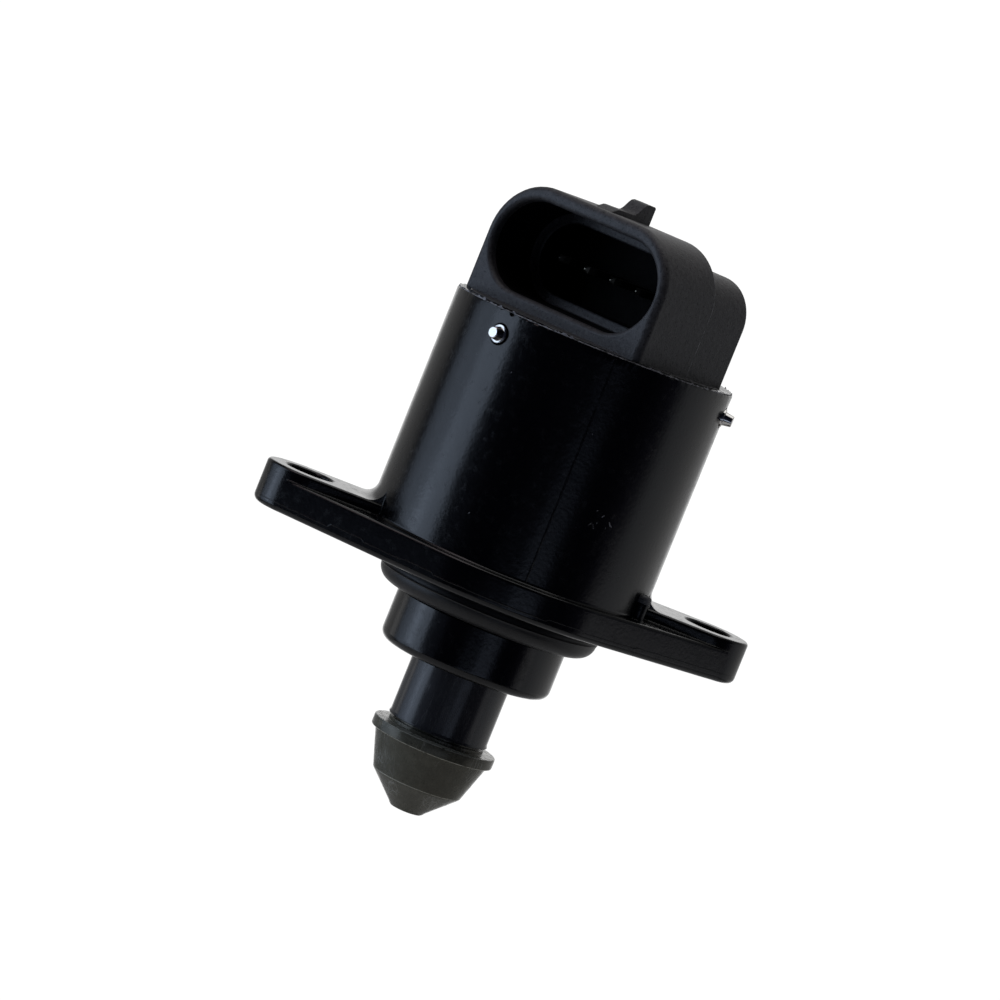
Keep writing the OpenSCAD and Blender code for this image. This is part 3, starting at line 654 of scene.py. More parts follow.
def wound_copper():
    """Enamelled copper wire: rows of turns lie one above the other."""
    wire = 0.18 * MM
    # The wave texture's scale that gives one band in each unit of length
    one_band = 0.314
    finish = Finish("enamelled copper", colours().copper, 0.25, metallic=1.0)
    turns = finish.add("ShaderNodeTexWave", bands_direction="Z", wave_profile="SIN")
    turns.inputs["Scale"].default_value = one_band / wire
    turns.inputs["Distortion"].default_value = 0.6
    finish.link(finish.place, turns.inputs["Vector"])
    finish.bump(turns.outputs["Fac"], 0.05 * MM)
    # Painted shade: the colour darkens in the grooves between the turns
    finish.tint(finish.ramp(turns.outputs["Fac"], 0.35, 0.0), (0.16, 0.05, 0.02))
    finish.uneven(0.15, 0.6 * MM)
    return finish.material


# Housing

def lobe_outline(mid_r, ear_r, ear_x, inset, steps=40):
    """Outline of a round middle and two round ears with straight flanks, drawn in by inset."""
    lean = math.degrees(math.acos((mid_r - ear_r) / ear_x))
    mid_steps = steps if mid_r > ear_r else 1
    ear = ear_r - inset
    mid = mid_r - inset
    points = arc(ear_x, 0, ear, -lean, lean, steps)
    points += arc(0, 0, mid, lean, 180 - lean, mid_steps) if mid_r > ear_r else []
    points += arc(-ear_x, 0, ear, 180 - lean, 180 + lean, steps)
    points += arc(0, 0, mid, 180 + lean, 360 - lean, mid_steps) if mid_r > ear_r else []
    return points


def edge_rings(z_low, z_high, low_r, high_r, steps=6):
    """(inset, height) pairs of a plate's edge with a rounding below and above."""
    below = [(low_r - x, z_low + low_r + y) for x, y in arc(0, 0, low_r, -90, 0, steps)]
    above = [(high_r - x, z_high - high_r + y) for x, y in arc(0, 0, high_r, 0, 90, steps)]
    return below + above


def flange_lobe(name, mid_r, ear_r, ear_x, z_low, z_high):
    """The flange's plate, or the thicker strip that carries both ears."""
    s = sizes()
    rings = edge_rings(z_low, z_high, s.low_round, s.top_round)
    loops = [[(x, y, z) for x, y in lobe_outline(mid_r, ear_r, ear_x, inset)] for inset, z in rings]
    return loft(name, loops)


def root_fillet(name, side):
    """Concave fillet where an ear's top runs up into the body."""
    s = sizes()
    inside = s.body_r - 0.4 * MM
    reach = s.body_r + s.root_fillet
    foot = s.ear_t - 0.3 * MM
    half_w = s.ear_r - s.top_round
    profile = [(inside, foot), (reach, foot)]
    profile += arc(reach, s.ear_t + s.root_fillet, s.root_fillet, 270, 182, 10)
    profile += [(inside, s.ear_t + s.root_fillet)]
    steps = 12
    loops = []
    for i in range(steps + 1):
        y = -half_w + 2 * half_w * i / steps
        loops.append([(side * math.sqrt(r * r - y * y), y, z) for r, z in profile])
    return loft(name, loops)


def rim_wobble(first, last):
    """Small unevenness of the rim between two points of the body's profile, as trimmed flash leaves it."""
    def shape(k, a):
        if not first <= k <= last:
            return 0, 0
        here = Vector((math.cos(a), math.sin(a), 0.07 * k))
        rough = noise.noise(here * 34) + 0.6 * noise.noise(here * 90)
        lump = max(0.0, noise.noise(here * 13 + Vector((5, 1, 2))))
        return 0.035 * MM * rough, 0.05 * MM * rough - 0.10 * MM * lump
    return shape


def housing_wall():
    """Body, step and nose as one turned wall, hollow for the motor, its bearing and the plunger."""
    s = sizes()
    top = s.body_top
    bore = s.body_r - s.body_wall
    nose_r = SPIGOT["r_mm"] * MM
    nose_z = -s.nose_l
    guide = s.tube_r + 0.1 * MM
    guide_bevel = 0.25 * MM
    seat_z = low("spring_seat").z
    pocket = high("bearing_outer_race").x + 0.02 * MM
    sleeve = high("rotor_magnet").x - 0.1 * MM
    sleeve_top = seat_z + 3.5 * MM
    ledge = low("lower_stator_cup").z
    ledge_r = bore - 1 * MM
    core = nose_r - 1.4 * MM
    pit_z = nose_z + 2 * MM
    buried_r = s.body_r - 1 * MM
    buried_z = s.plate_t - 0.5 * MM
    profile = [(guide + guide_bevel, nose_z), (nose_r - s.nose_round, nose_z)]
    profile += arc(nose_r - s.nose_round, nose_z + s.nose_round, s.nose_round, -80, 0, 8)
    seat_r = nose_r - s.seat_cut
    seat_foot = -s.seal_low - 0.3 * MM
    seat_round, step_round = 0.05 * MM, 0.12 * MM
    profile += [(nose_r, seat_foot), (seat_r, seat_foot + s.seat_cut)]
    profile += arc(seat_r + seat_round, -s.step_h - seat_round, seat_round, 180, 90, 3)
    profile += arc(s.step_r - step_round, -s.step_h + step_round, step_round, -90, 0, 3)
    profile += [(s.step_r, 0.4 * MM), (buried_r, 0.9 * MM), (buried_r, buried_z)]
    profile += [(s.body_r + s.foot_fillet, buried_z)]
    profile += arc(s.body_r + s.foot_fillet, s.plate_t + s.foot_fillet, s.foot_fillet, 270, 180, 5)
    profile += [(s.body_r, top - s.rim_bevel - 0.7 * MM)]
    first = len(profile)
    profile += [(s.body_r, top - s.rim_bevel)]
    profile += [(s.body_r - 0.4 * s.rim_bevel, top - 0.2 * s.rim_bevel), (s.body_r - s.rim_bevel, top)]
    profile += [(bore + 0.2 * MM, top), (bore, top - 0.25 * MM)]
    last = len(profile) - 2
    profile += [(bore, ledge), (ledge_r, ledge), (ledge_r, s.floor_t), (core, s.floor_t)]
    profile += [(core, pit_z), (sleeve, pit_z), (sleeve, sleeve_top), (pocket, sleeve_top)]
    profile += [(pocket, seat_z), (guide, seat_z), (guide, nose_z + guide_bevel)]
    return lathe("housing_body", profile, 480, shape=rim_wobble(first, last))


def radial_normals(piece, r, z_low, z_high):
    """Turns the normals on a round wall straight outwards, where cuts through it would disturb them."""
    mesh = piece.data
    normals = [corner.vector.copy() for corner in mesh.corner_normals]
    for polygon in mesh.polygons:
        out = Vector((*polygon.center.xy, 0)).normalized()
        if polygon.normal.dot(out) < 0.9995 or not z_low < polygon.center.z < z_high:
            continue
        for i in polygon.loop_indices:
            point = mesh.vertices[mesh.loops[i].vertex_index].co
            if abs(point.xy.length - r) < 0.004 * MM:
                normals[i] = Vector((*point.xy, 0)).normalized()
    mesh.normals_split_custom_set(normals)


def mould_line(name, path, out, proud, half=0.05 * MM, sink=0.08 * MM):
    """A raised hairline along a path, as where the mould's halves meet: a thin three-sided ridge.
    out(i) gives the outward direction at a point of the path, proud(i) the ridge's height there."""
    loops = []
    for i, point in enumerate(path):
        ahead = (path[min(i + 1, len(path) - 1)] - path[max(i - 1, 0)]).normalized()
        normal = out(i)
        across = ahead.cross(normal).normalized()
        loops.append([point - across * half - normal * sink, point + across * half - normal * sink,
                      point + normal * proud(i)])
    return loft(name, loops)


# Where the flange's parting line steps up or down, from left to right, and by how much, in mm
MOULD_STEPS = [(-21.5, 0.35), (-17.4, -0.25), (-13.0, 0.15), (-9.5, -0.2),
               (4.5, 0.2), (9.0, -0.25), (16.0, 0.15)]


def flange_line(side):
    """The parting line along one long side of the flange, with the little steps that the mould leaves."""
    s = sizes()
    ear_x = HOLES["spacing_x_mm"] * MM / 2
    outline = lobe_outline(s.body_r + s.plate_edge, s.ear_r, ear_x, 0, 60)
    dense = []
    for a, b in zip(outline, outline[1:] + outline[:1]):
        a, b = Vector((*a, 0)), Vector((*b, 0))
        parts = max(1, int((b - a).length / (0.35 * MM)))
        dense += [a.lerp(b, i / parts) for i in range(parts)]
    chosen = sorted((p for p in dense if side * p.y > 2.2 * MM), key=lambda p: p.x)
    path = []
    for p in chosen:
        level = 1.0 + sum(step for x, step in MOULD_STEPS if p.x > x * MM)
        level += 0.05 * noise.noise(p * 900)
        path.append(Vector((p.x, p.y, level * MM)))

    def out(i):
        ahead = path[min(i + 1, len(path) - 1)] - path[max(i - 1, 0)]
        return Vector((-ahead.y * side, ahead.x * side, 0)).normalized()

    def proud(i):
        return MM * max(0.006, 0.035 + 0.035 * noise.noise(path[i] * 1500))

    return mould_line("flange_line", path, out, proud)


def body_line(angle):
    """The parting line up the body."""
    s = sizes()
    steps = 90
    out = Vector((math.cos(angle), math.sin(angle), 0))
    z0 = s.plate_t + 0.3 * MM
    z1 = s.body_top - 0.5 * MM
    path = [out * s.body_r + Vector((0, 0, z0 + (z1 - z0) * i / steps)) for i in range(steps + 1)]

    def proud(i):
        return MM * (1 - 0.65 * i / steps) * max(0.012, 0.045 + 0.05 * noise.noise(path[i] * 900))

    return mould_line("body_line", path, lambda i: out, proud, 0.10 * MM, 0.012 * MM)


def root_line():
    """The upright edge where the left ear's front side meets the body."""
    s = sizes()
    a = math.pi + math.asin((s.ear_r - 0.2 * MM) / s.body_r)
    out = Vector((math.cos(a), math.sin(a), 0))
    levels = [s.plate_t + (0.1 + 2.3 * i / 8) * MM for i in range(9)]
    path = [out * s.body_r + Vector((0, 0, z)) for z in levels]
    return mould_line("root_line", path, lambda i: out, lambda i: 0.09 * MM, 0.10 * MM, 0.03 * MM)


def ejector_post():
    """The dished post that an ejector leaves beside the right ear's root, and its top as a skin that carries
    a painted highlight.
    """
    s = sizes()
    r, edge, top = 0.98 * MM, 0.5 * MM, 6.85 * MM
    foot = s.plate_t - 0.5 * MM
    skirt = top - 0.95 * MM

    def dished(grow):
        """The post's rounded and dished top, grown by a skin."""
        dome = arc(r - edge, top - edge, edge + grow, 0, 84, 8)
        dome += [(0.34 * MM, top - 0.02 * MM + grow), (0.24 * MM, top - 0.1 * MM + grow)]
        return dome + [(0, top - 0.14 * MM + grow)]

    # The skin over the post's top carries the pale finish, a painted highlight
    skin = 0.006 * MM
    post = lathe("ejector_post", [(0, foot), (r, foot)] + dished(0), 48, ring=False)
    worn = lathe("ejector_post_highlight", [(r + skin, skirt)] + dished(skin) + [(0, skirt)], 48, ring=False)
    place = Matrix.Translation((15.28 * MM, -8.06 * MM, 0))
    return placed(post, place), placed(worn, place)


def foot_lines():
    """The fine fillets at the feet of both ears' long sides, on the flange plate."""
    s = sizes()
    ear_x = HOLES["spacing_x_mm"] * MM / 2
    away = s.ear_r + 0.03 * MM
    half, sink = 0.09 * MM, 0.06 * MM
    start = 17.2 * MM
    lines = []
    for x_side in (-1, 1):
        for y_side in (-1, 1):
            flat = [(start + (ear_x - start) * i / 10, away) for i in range(10)]
            flat += arc(ear_x, 0, away, 90, 60, 8)
            path = [Vector((x_side * x, y_side * y, s.plate_t + 0.03 * MM)) for x, y in flat]
            outs = []
            for x, y in flat:
                side = Vector((x_side * max(0.0, x - ear_x), y_side * y, 0)).normalized()
                outs.append((side + Vector((0, 0, 1))).normalized())
            line = mould_line("foot_line", path, outs.__getitem__, lambda i: 0.05 * MM, half, sink)
            lines.append(line)
    return lines


def ridge_ring(name, radius, level, rise, half, sink):
    """A thin uneven ridge round Z: rise(angle) gives its height above that level."""
    def shape(k, a):
        return (0, max(0.0, rise(a))) if k == 1 else (0, 0)

    profile = [(radius + half, level - sink), (radius, level), (radius - half, level - sink)]
    return lathe(name, profile, 720, shape=shape)


def rim_flash(a):
    """Height of the torn flash on the body's rim at an angle: short tufts with gaps between them."""
    here = Vector((math.cos(a), math.sin(a), 0.4))
    tuft = noise.noise(here * 46) + 0.5 * noise.noise(here * 130)
    stretch = noise.noise(here * 7 + Vector((3, 0, 0)))
    return MM * 0.34 * max(0.0, tuft + 0.5 * stretch - 0.12)


def scuff(turn, height, long, lean, half):
    """A short pale scuff on the body's wall: turn in degrees from straight ahead, height, length and half
    width in mm, and lean in degrees."""
    s = sizes()
    front = bpy.context.scene.valve_studio.azimuth - math.pi / 2
    steps = 6
    path = []
    for i in range(steps + 1):
        along = (i / steps - 0.5) * long * MM
        a = front + math.radians(turn) + along * math.sin(math.radians(lean)) / s.body_r
        z = height * MM + along * math.cos(math.radians(lean))
        path.append(Vector((s.body_r * math.cos(a), s.body_r * math.sin(a), z)))

    def out(i):
        return Vector((path[i].x, path[i].y, 0)).normalized()

    def proud(i):
        return 0.016 * MM * math.sin(math.pi * (i + 0.3) / (steps + 0.6))

    return mould_line("scuff", path, out, proud, half * MM, 0.003 * MM)


def join(piece, *others):
    """Adds other meshes to a piece without cutting them."""
    build = bmesh.new()
    for one in (piece, *others):
        build.from_mesh(one.data)
    build.to_mesh(piece.data)
    build.free()
    for other in others:
        bpy.data.objects.remove(other)
    return piece


def pin_directions():
    """Directions of the three retaining pins, from the one under the socket."""
    first = math.atan2(SOCKET.y, SOCKET.x)
    angles = [first + math.radians(120) * i for i in range(3)]
    return [Vector((math.cos(a), math.sin(a), 0)) for a in angles]


def pin_level():
    """The height of the pins' axes, as a vector."""
    return Vector((0, 0, (low("retaining_pin_1").z + high("retaining_pin_1").z) / 2))


# Scuffs on the body's front: degrees from straight ahead, height, length, lean, half width
SCUFFS = [(24.6, 12.9, 0.60, 35, 0.08), (26.2, 12.75, 0.6, -30, 0.07), (27.2, 13.3, 0.3, 20, 0.06),
          (28.6, 14.2, 0.4, 40, 0.07), (32.6, 13.6, 0.60, -35, 0.09), (33.6, 13.4, 0.35, -50, 0.06),
          (31.4, 13.0, 0.25, 10, 0.03), (25.4, 14.6, 0.25, 60, 0.03), (47.0, 8.2, 0.5, -20, 0.03),
          (-20.5, 9.0, 0.3, 30, 0.03), (12.0, 22.5, 0.25, -40, 0.025), (-26.0, 25.4, 0.25, 15, 0.025)]


class VALVE_OT_housing(bpy.types.Operator):
    """Model the moulded housing: body, flange with its ears, and nose"""

    bl_idname = "valve.housing"
    bl_label = "Housing"

    def execute(self, context):
        s = sizes()
        ear_x = HOLES["spacing_x_mm"] * MM / 2
        hole_r = HOLES["hole_r_mm"] * MM
        flange = flange_lobe("flange", s.body_r + s.plate_edge, s.ear_r, ear_x, 0, s.plate_t)
        ear_r = s.ear_r + 0.004 * MM
        fuse(flange, flange_lobe("ears", ear_r, ear_r, ear_x, -0.002 * MM, s.ear_t))
        cut(flange, rod("middle", s.step_r - 0.6 * MM, (0, 0, -5 * MM), (0, 0, 12 * MM), 192))
        piece = housing_wall()
        fuse(piece, flange, root_fillet("root_right", 1), root_fillet("root_left", -1))
        flare = [(0, -1 * MM), (hole_r + 0.15 * MM, -1 * MM), (hole_r + 0.15 * MM, 0), (hole_r, 0.15 * MM)]
        flare += [(hole_r, s.ear_t - 0.3 * MM), (hole_r + 0.1 * MM, s.ear_t - 0.12 * MM)]
        flare += [(hole_r + 0.32 * MM, s.ear_t), (hole_r + 0.32 * MM, s.ear_t + MM), (0, s.ear_t + MM)]
        for side in (-1, 1):
            hole = lathe("hole", flare, 96, ring=False)
            cut(piece, placed(hole, Matrix.Translation((side * ear_x, 0, 0))))
        for out in pin_directions():
            start = out * (s.body_r - 3 * MM) + pin_level()
            cut(piece, rod("pin_hole", s.pin_r + 0.18 * MM, start, start + out * 6 * MM, 64))
        post, post_highlight = ejector_post()
        fuse(piece, post)
        cut(piece, self.notch(), self.key_slots())
        join(piece, flange_line(-1), flange_line(1), body_line(math.radians(-88)),
             body_line(math.radians(92)), root_line(), *foot_lines())
        piece.name = "housing_moulding"
        stand_for(piece, "housing", "stator", gloss_black())
        radial_normals(piece, s.body_r, s.plate_t, s.body_top - 0.5 * MM)
        rim = s.body_top - 0.1 * MM
        torn = ridge_ring("rim_flash", s.body_r - 0.12 * MM, rim, rim_flash, 0.06 * MM, 0.1 * MM)
        marks = [scuff(*mark) for mark in SCUFFS]
        attach(join(torn, *marks), "stator", pale_scuff_and_highlight())
        # The post's top skin: painted highlight
        attach(post_highlight, "stator", painted_highlight_black())
        return {"FINISHED"}

    def notch(self):
        """A small bite in the rim, as a solid."""
        s = sizes()
        a = math.radians(-132.8)
        out = Vector((math.cos(a), math.sin(a), 0))
        level = Vector((0, 0, s.body_top - 0.15 * MM))
        start = out * (s.body_r - 0.5 * MM) + level
        return rod("notch", 0.42 * MM, start, start + out * 1.5 * MM, 24)

    def key_slots(self):
        """The slots that the plunger's keys run in, as a solid."""
        reach = high("plunger_tube").x + 0.1 * MM
        half_w = 1.1 * MM
        foot = high("plunger_tube").z - 2.45 * MM
        return brick("key_slots", (-reach, -half_w, foot), (reach, half_w, low("spring_seat").z))


# Seal

class VALVE_OT_seal(bpy.types.Operator):
    """Model the ring seal round the nose, pressed a little flat against the nose and the step"""

    bl_idname = "valve.seal"
    bl_label = "Flange seal"

    def execute(self, context):
        s = sizes()
        r = s.seal_cord / 2
        inner = SPIGOT["r_mm"] * MM - s.seat_cut + 0.015 * MM
        top = -s.step_h - 0.005 * MM
        cx, cz = s.seal_r - r, r - s.seal_low
        rise = math.degrees(math.asin((top - cz) / r))
        fall = -math.degrees(math.acos((inner - cx) / r))
        flash = 0.09 * MM
        outside = arc(cx, cz, r, rise, fall, 40)
        split = min(range(len(outside)), key=lambda i: abs(outside[i][1] - cz))
        outside[split] = (s.seal_r + flash, cz)
        right = bpy.context.scene.valve_studio.azimuth

        def shape(k, a):
            """A wavy mould ridge, and below it the sag."""
            if k == split + 1:
                return 0.05 * MM * noise.noise(Vector((math.cos(a), math.sin(a), 0.3)) * 40), 0
            return 0, -s.seal_sag * max(0.0, math.cos(a - right)) if k > split + 1 else 0

        piece = lathe("flange_seal_ring", [(inner, top)] + outside, 256, shape=shape)
        stand_for(piece, "flange_seal", "stator", black_rubber())
        paint("cap_seal", piece.data.materials[0])
        return {"FINISHED"}


# Connector cap

def block_outline(width, foot, top, corner, inset, steps=14):
    """Square feet and two round upper corners, in (x, z)."""
    half = width / 2 - inset
    r = corner - inset
    level = top - inset
    points = [(-half, foot), (half, foot)]
    points += arc(half - r, level - r, r, 0, 90, steps)
    points += arc(r - half, level - r, r, 90, 180, steps)
    return points


def block(name, y_front, y_back, width, foot, top, corner, front_round, back_round):
    """A block of that outline with its front and back edges rounded."""
    rows = [(front_round - x, y_front + front_round - y) for y, x in arc(0, 0, front_round, 0, 90, 5)]
    rows += [(back_round - x, y_back - back_round + y) for x, y in arc(0, 0, back_round, 0, 90, 4)]
    loops = [[(x, y, z) for x, z in block_outline(width, foot, top, corner, inset)] for inset, y in rows]
    return loft(name, loops)


def stadium(width, height, outset, steps=28):
    """Outline with two round ends, in (x, z) about its middle."""
    r = height / 2 + outset
    half = (width - height) / 2
    return arc(half, 0, r, -90, 90, steps) + arc(-half, 0, r, 90, 270, steps)


def socket_space():
    """The socket as a solid: rounded mouth, outer stretch, step and inner stretch."""
    s = sizes()
    front = -SOCKET.xy.length
    lip = s.mouth_lip
    nick, bevel = 0.25 * MM, 0.15 * MM
    rows = [(lip + 0.05 * MM, -0.3 * MM)]
    rows += [(lip - x, lip - y) for y, x in arc(0, 0, lip, 0, 90, 6)]
    rows += [(0, s.lip_depth), (0, s.mouth_depth - nick)]
    rows += [(-0.3 * nick, s.mouth_depth - 0.3 * nick), (-nick, s.mouth_depth)]
    rows += [(-s.mouth_step + bevel, s.mouth_depth), (-s.mouth_step, s.mouth_depth + bevel)]
    rows += [(-s.mouth_step, s.socket_depth)]
    loops = [[(x, front + depth, SOCKET.z + z) for x, z in stadium(s.mouth_w, s.mouth_h, outset)]
             for outset, depth in rows]
    return loft("socket_space", loops)


# The latch lug from the side: distance behind the block's front and height over its top, in mm
LUG_SIDE = [(1.3, -0.5), (1.5, 0), (2.75, 0.56), (3.1, 0.6), (5.65, 0.6), (6.05, 0.7), (6.45, 1.05),
            (7.0, 1.75), (7.35, 2.1), (7.8, 2.25), (9.05, 2.25), (9.2, 2.1), (9.2, -0.5)]


def latch_lug():
    """The latch lug: a low step, a ramp up to a short flat top, and a steep back."""
    s = sizes()
    front = -SOCKET.xy.length
    side = [(front + y * MM, s.block_top + z * MM) for y, z in LUG_SIDE]
    loops = [[(x, y, z) for y, z in side] for x in (-s.lug_w / 2, s.lug_w / 2)]
    return rounded(loft("latch_lug", loops), 0.12 * MM, 3)


def cap_plug():
    """The turned part of the cap inside the body, with its seal groove and the bush's pocket."""
    s = sizes()
    top = s.body_top
    foot = low("connector_cap").z
    plug_r = s.body_r - s.body_wall - 0.05 * MM
    groove_r = -low("cap_seal").x - 1.6 * MM
    seal_lo, seal_hi = low("cap_seal").z - 0.1 * MM, high("cap_seal").z + 0.1 * MM
    core = groove_r - 1.15 * MM
    core_top = top - 1.6 * MM
    post = 6.2 * MM
    pocket, pocket_top = 4.62 * MM, high("upper_bush").z
    profile = [(post, foot), (post, core_top), (core, core_top), (core, foot), (plug_r, foot)]
    profile += [(plug_r, seal_lo), (groove_r, seal_lo), (groove_r, seal_hi), (plug_r, seal_hi)]
    profile += [(plug_r, top - 0.1 * MM), (plug_r - 0.1 * MM, top), (1 * MM, top)]
    profile += [(1 * MM, pocket_top), (pocket, pocket_top), (pocket, foot)]
    return lathe("cap_plug", profile, 256)


# A blade's pointed end: half width, half thickness and distance ahead of the straight stretch, in mm
BLADE_END = [(0.375, 0.4, -0.2), (0.375, 0.4, 0.0), (0.11, 0.12, 0.36), (0.05, 0.06, 0.42)]


def terminal_tips(turn, blades):
    """Pointed ends of some of the four blades, ahead of the straight stretches."""
    s = sizes()
    start = -SOCKET.xy.length + s.socket_depth - s.blade_reach
    tips = []
    for i in blades:
        x = (i - 1.5) * s.blade_pitch
        loops = []
        for half_w, half_t, ahead in BLADE_END:
            w, h, y = half_w * MM, half_t * MM, start - ahead * MM
            corners = [(x - w, -h), (x + w, -h), (x + w, h), (x - w, h)]
            loops.append([(across, y, SOCKET.z + up) for across, up in corners])
        tips.append(loft("terminal_tips", loops))
    return placed(join(*tips), Matrix.Rotation(turn, 4, "Z"))


class VALVE_OT_cap(bpy.types.Operator):
    """Model the connector cap: plug, block with the socket, and latch lug"""

    bl_idname = "valve.cap"
    bl_label = "Connector cap"

    def execute(self, context):
        s = sizes()
        front = -SOCKET.xy.length
        foot = s.body_top - 0.05 * MM
        seam = front + s.front_depth
        piece = cap_plug()
        forward = block("front_block", front, seam, s.block_w, foot,
                        s.block_top, s.block_r, 0.85 * MM, s.seam_round)
        rear = block("rear_block", seam - 1 * MM, seam + s.rear_depth, s.block_w - 0.24 * MM, foot,
                     s.block_top - s.rear_drop, s.rear_r, 0.1 * MM, 0.4 * MM)
        fuse(piece, forward, rear, latch_lug())
        cut(piece, socket_space())
        turn = math.atan2(SOCKET.y, SOCKET.x) + math.radians(90)
        placed(piece, Matrix.Rotation(turn, 4, "Z"))
        piece.name = "connector_cap_moulding"
        stand_for(piece, "connector_cap", "stator", satin_charcoal())
        self.second_finishes(piece)
        # Painted shade: the blades deep in the socket and the first blade's tip get a near-black tin standing
        # in for the shade there
        tin = metal("tin with painted shade", (0.055, 0.052, 0.045), (0.030, 0.027, 0.022), 0.42, 0.3 * MM)
        for i in range(1, 5):
            paint(f"terminal_{i}", tin)
        attach(terminal_tips(turn, (0,)), "stator", tin)
        # The other three tips get a lighter copy of the tin: lit and shaded copies of one material
        attach(terminal_tips(turn, (1, 2, 3)), "stator",
               metal("lit tin", (0.22, 0.21, 0.17), (0.12, 0.11, 0.08), 0.22, 0.2 * MM))
        return {"FINISHED"}

    def second_finishes(self, piece):
        """Gives the socket's walls behind the rim, apart from the step between them, a near-black finish as
        painted shade, and the rounding where the block's front part ends a pale finish as a painted
        highlight."""
        s = sizes()
        inward = -SOCKET.xy.normalized()
        sideways = Vector((-inward.y, inward.x))
        # Slot 1: the near-black painted shade for the socket's walls
        piece.data.materials.append(painted_socket_shade())
        # Slot 2: the pale finish, a painted highlight on the seam rounding
        piece.data.materials.append(pale_scuff_and_highlight())
        for polygon in piece.data.polygons:
            middle = polygon.center
            depth = middle.xy.dot(inward) + SOCKET.xy.length
            past = max(0.0, abs(middle.xy.dot(sideways)) - (s.mouth_w - s.mouth_h) / 2)
            inside = math.hypot(past, middle.z - SOCKET.z) < s.mouth_h / 2 + 0.02 * MM
            outer = s.lip_depth < depth < s.mouth_depth - 0.3 * MM
            inner = s.mouth_depth + 0.25 * MM < depth < s.socket_depth + 0.1 * MM
            # Painted shade: the socket's walls behind the rim get the near-black finish
            if inside and (outer or inner):
                polygon.material_index = 1
            # Painted highlight: the rounding where the block's front part ends gets the pale finish
            elif s.front_depth - s.seam_round < depth < s.front_depth - 0.01 * MM and not inside:
                polygon.material_index = 2


# Retaining pins

class VALVE_OT_pins(bpy.types.Operator):
    """Model the three retaining pins with their bevelled, slightly domed ends"""

    bl_idname = "valve.pins"
    bl_label = "Retaining pins"

    def execute(self, context):
        s = sizes()
        finish = nickel()
        r, waist, flat = s.pin_r, s.pin_waist, s.pin_end_r
        long = s.pin_length
        neck = long - s.pin_taper
        profile = [(0, 0), (r - 0.2 * MM, 0), (r, 0.2 * MM), (r, neck - 0.1 * MM), (r - 0.03 * MM, neck)]
        profile += [(r - 0.10 * MM, neck + 0.03 * MM), (waist, neck + 0.05 * MM)]
        profile += [(waist - 0.03 * MM, neck + 0.12 * MM), (flat + 0.04 * MM, long - 0.09 * MM)]
        profile += [(flat - 0.05 * MM, long - 0.02 * MM), (0.4 * flat, long), (0, long)]
        for i, out in enumerate(pin_directions()):
            piece = lathe(f"retaining_pin_end_{i + 1}", profile, 64, ring=False)
            start = out * (s.body_r + s.pin_out - long) + pin_level()
            turn = out.to_track_quat("Z", "Y").to_matrix().to_4x4()
            placed(piece, Matrix.Translation(start) @ turn)
            stand_for(piece, f"retaining_pin_{i + 1}", "stator", finish)
        return {"FINISHED"}


# Plunger

class VALVE_OT_tube(bpy.types.Operator):
    """Model the plunger tube with the fine lip at its lower end and the keys at its top"""

    bl_idname = "valve.tube"
    bl_label = "Plunger tube"

    def execute(self, context):
        s = sizes()
        foot, top = low("plunger_tube").z, high("plunger_tube").z
        lip = high("plunger_tube").y
        inner = s.tube_r - s.tube_wall
        profile = [(inner, foot), (s.tube_r - 0.12 * MM, foot), (lip - 0.04 * MM, foot + 0.03 * MM),
                   (lip, foot + 0.1 * MM), (lip - 0.03 * MM, foot + 0.2 * MM), (s.tube_r, foot + 0.4 * MM),
                   (s.tube_r, top - 0.15 * MM), (s.tube_r - 0.15 * MM, top), (inner, top)]
        piece = lathe("plunger_tube_body", profile, 192)
        reach = high("plunger_tube").x
        for side in (-1, 1):
            left, right = sorted((side * (s.tube_r - 0.3 * MM), side * reach))
            key = brick("key", (left, -1 * MM, top - 2.4 * MM), (right, 1 * MM, top))
            fuse(piece, rounded(key, 0.12 * MM))
        stand_for(piece, "plunger_tube", "plunger", speckled_black())
        steel = metal("turned steel", (0.55, 0.55, 0.56), (0.36, 0.35, 0.34), 0.24, 0.3 * MM)
        paint("lead_screw", steel)
        return {"FINISHED"}


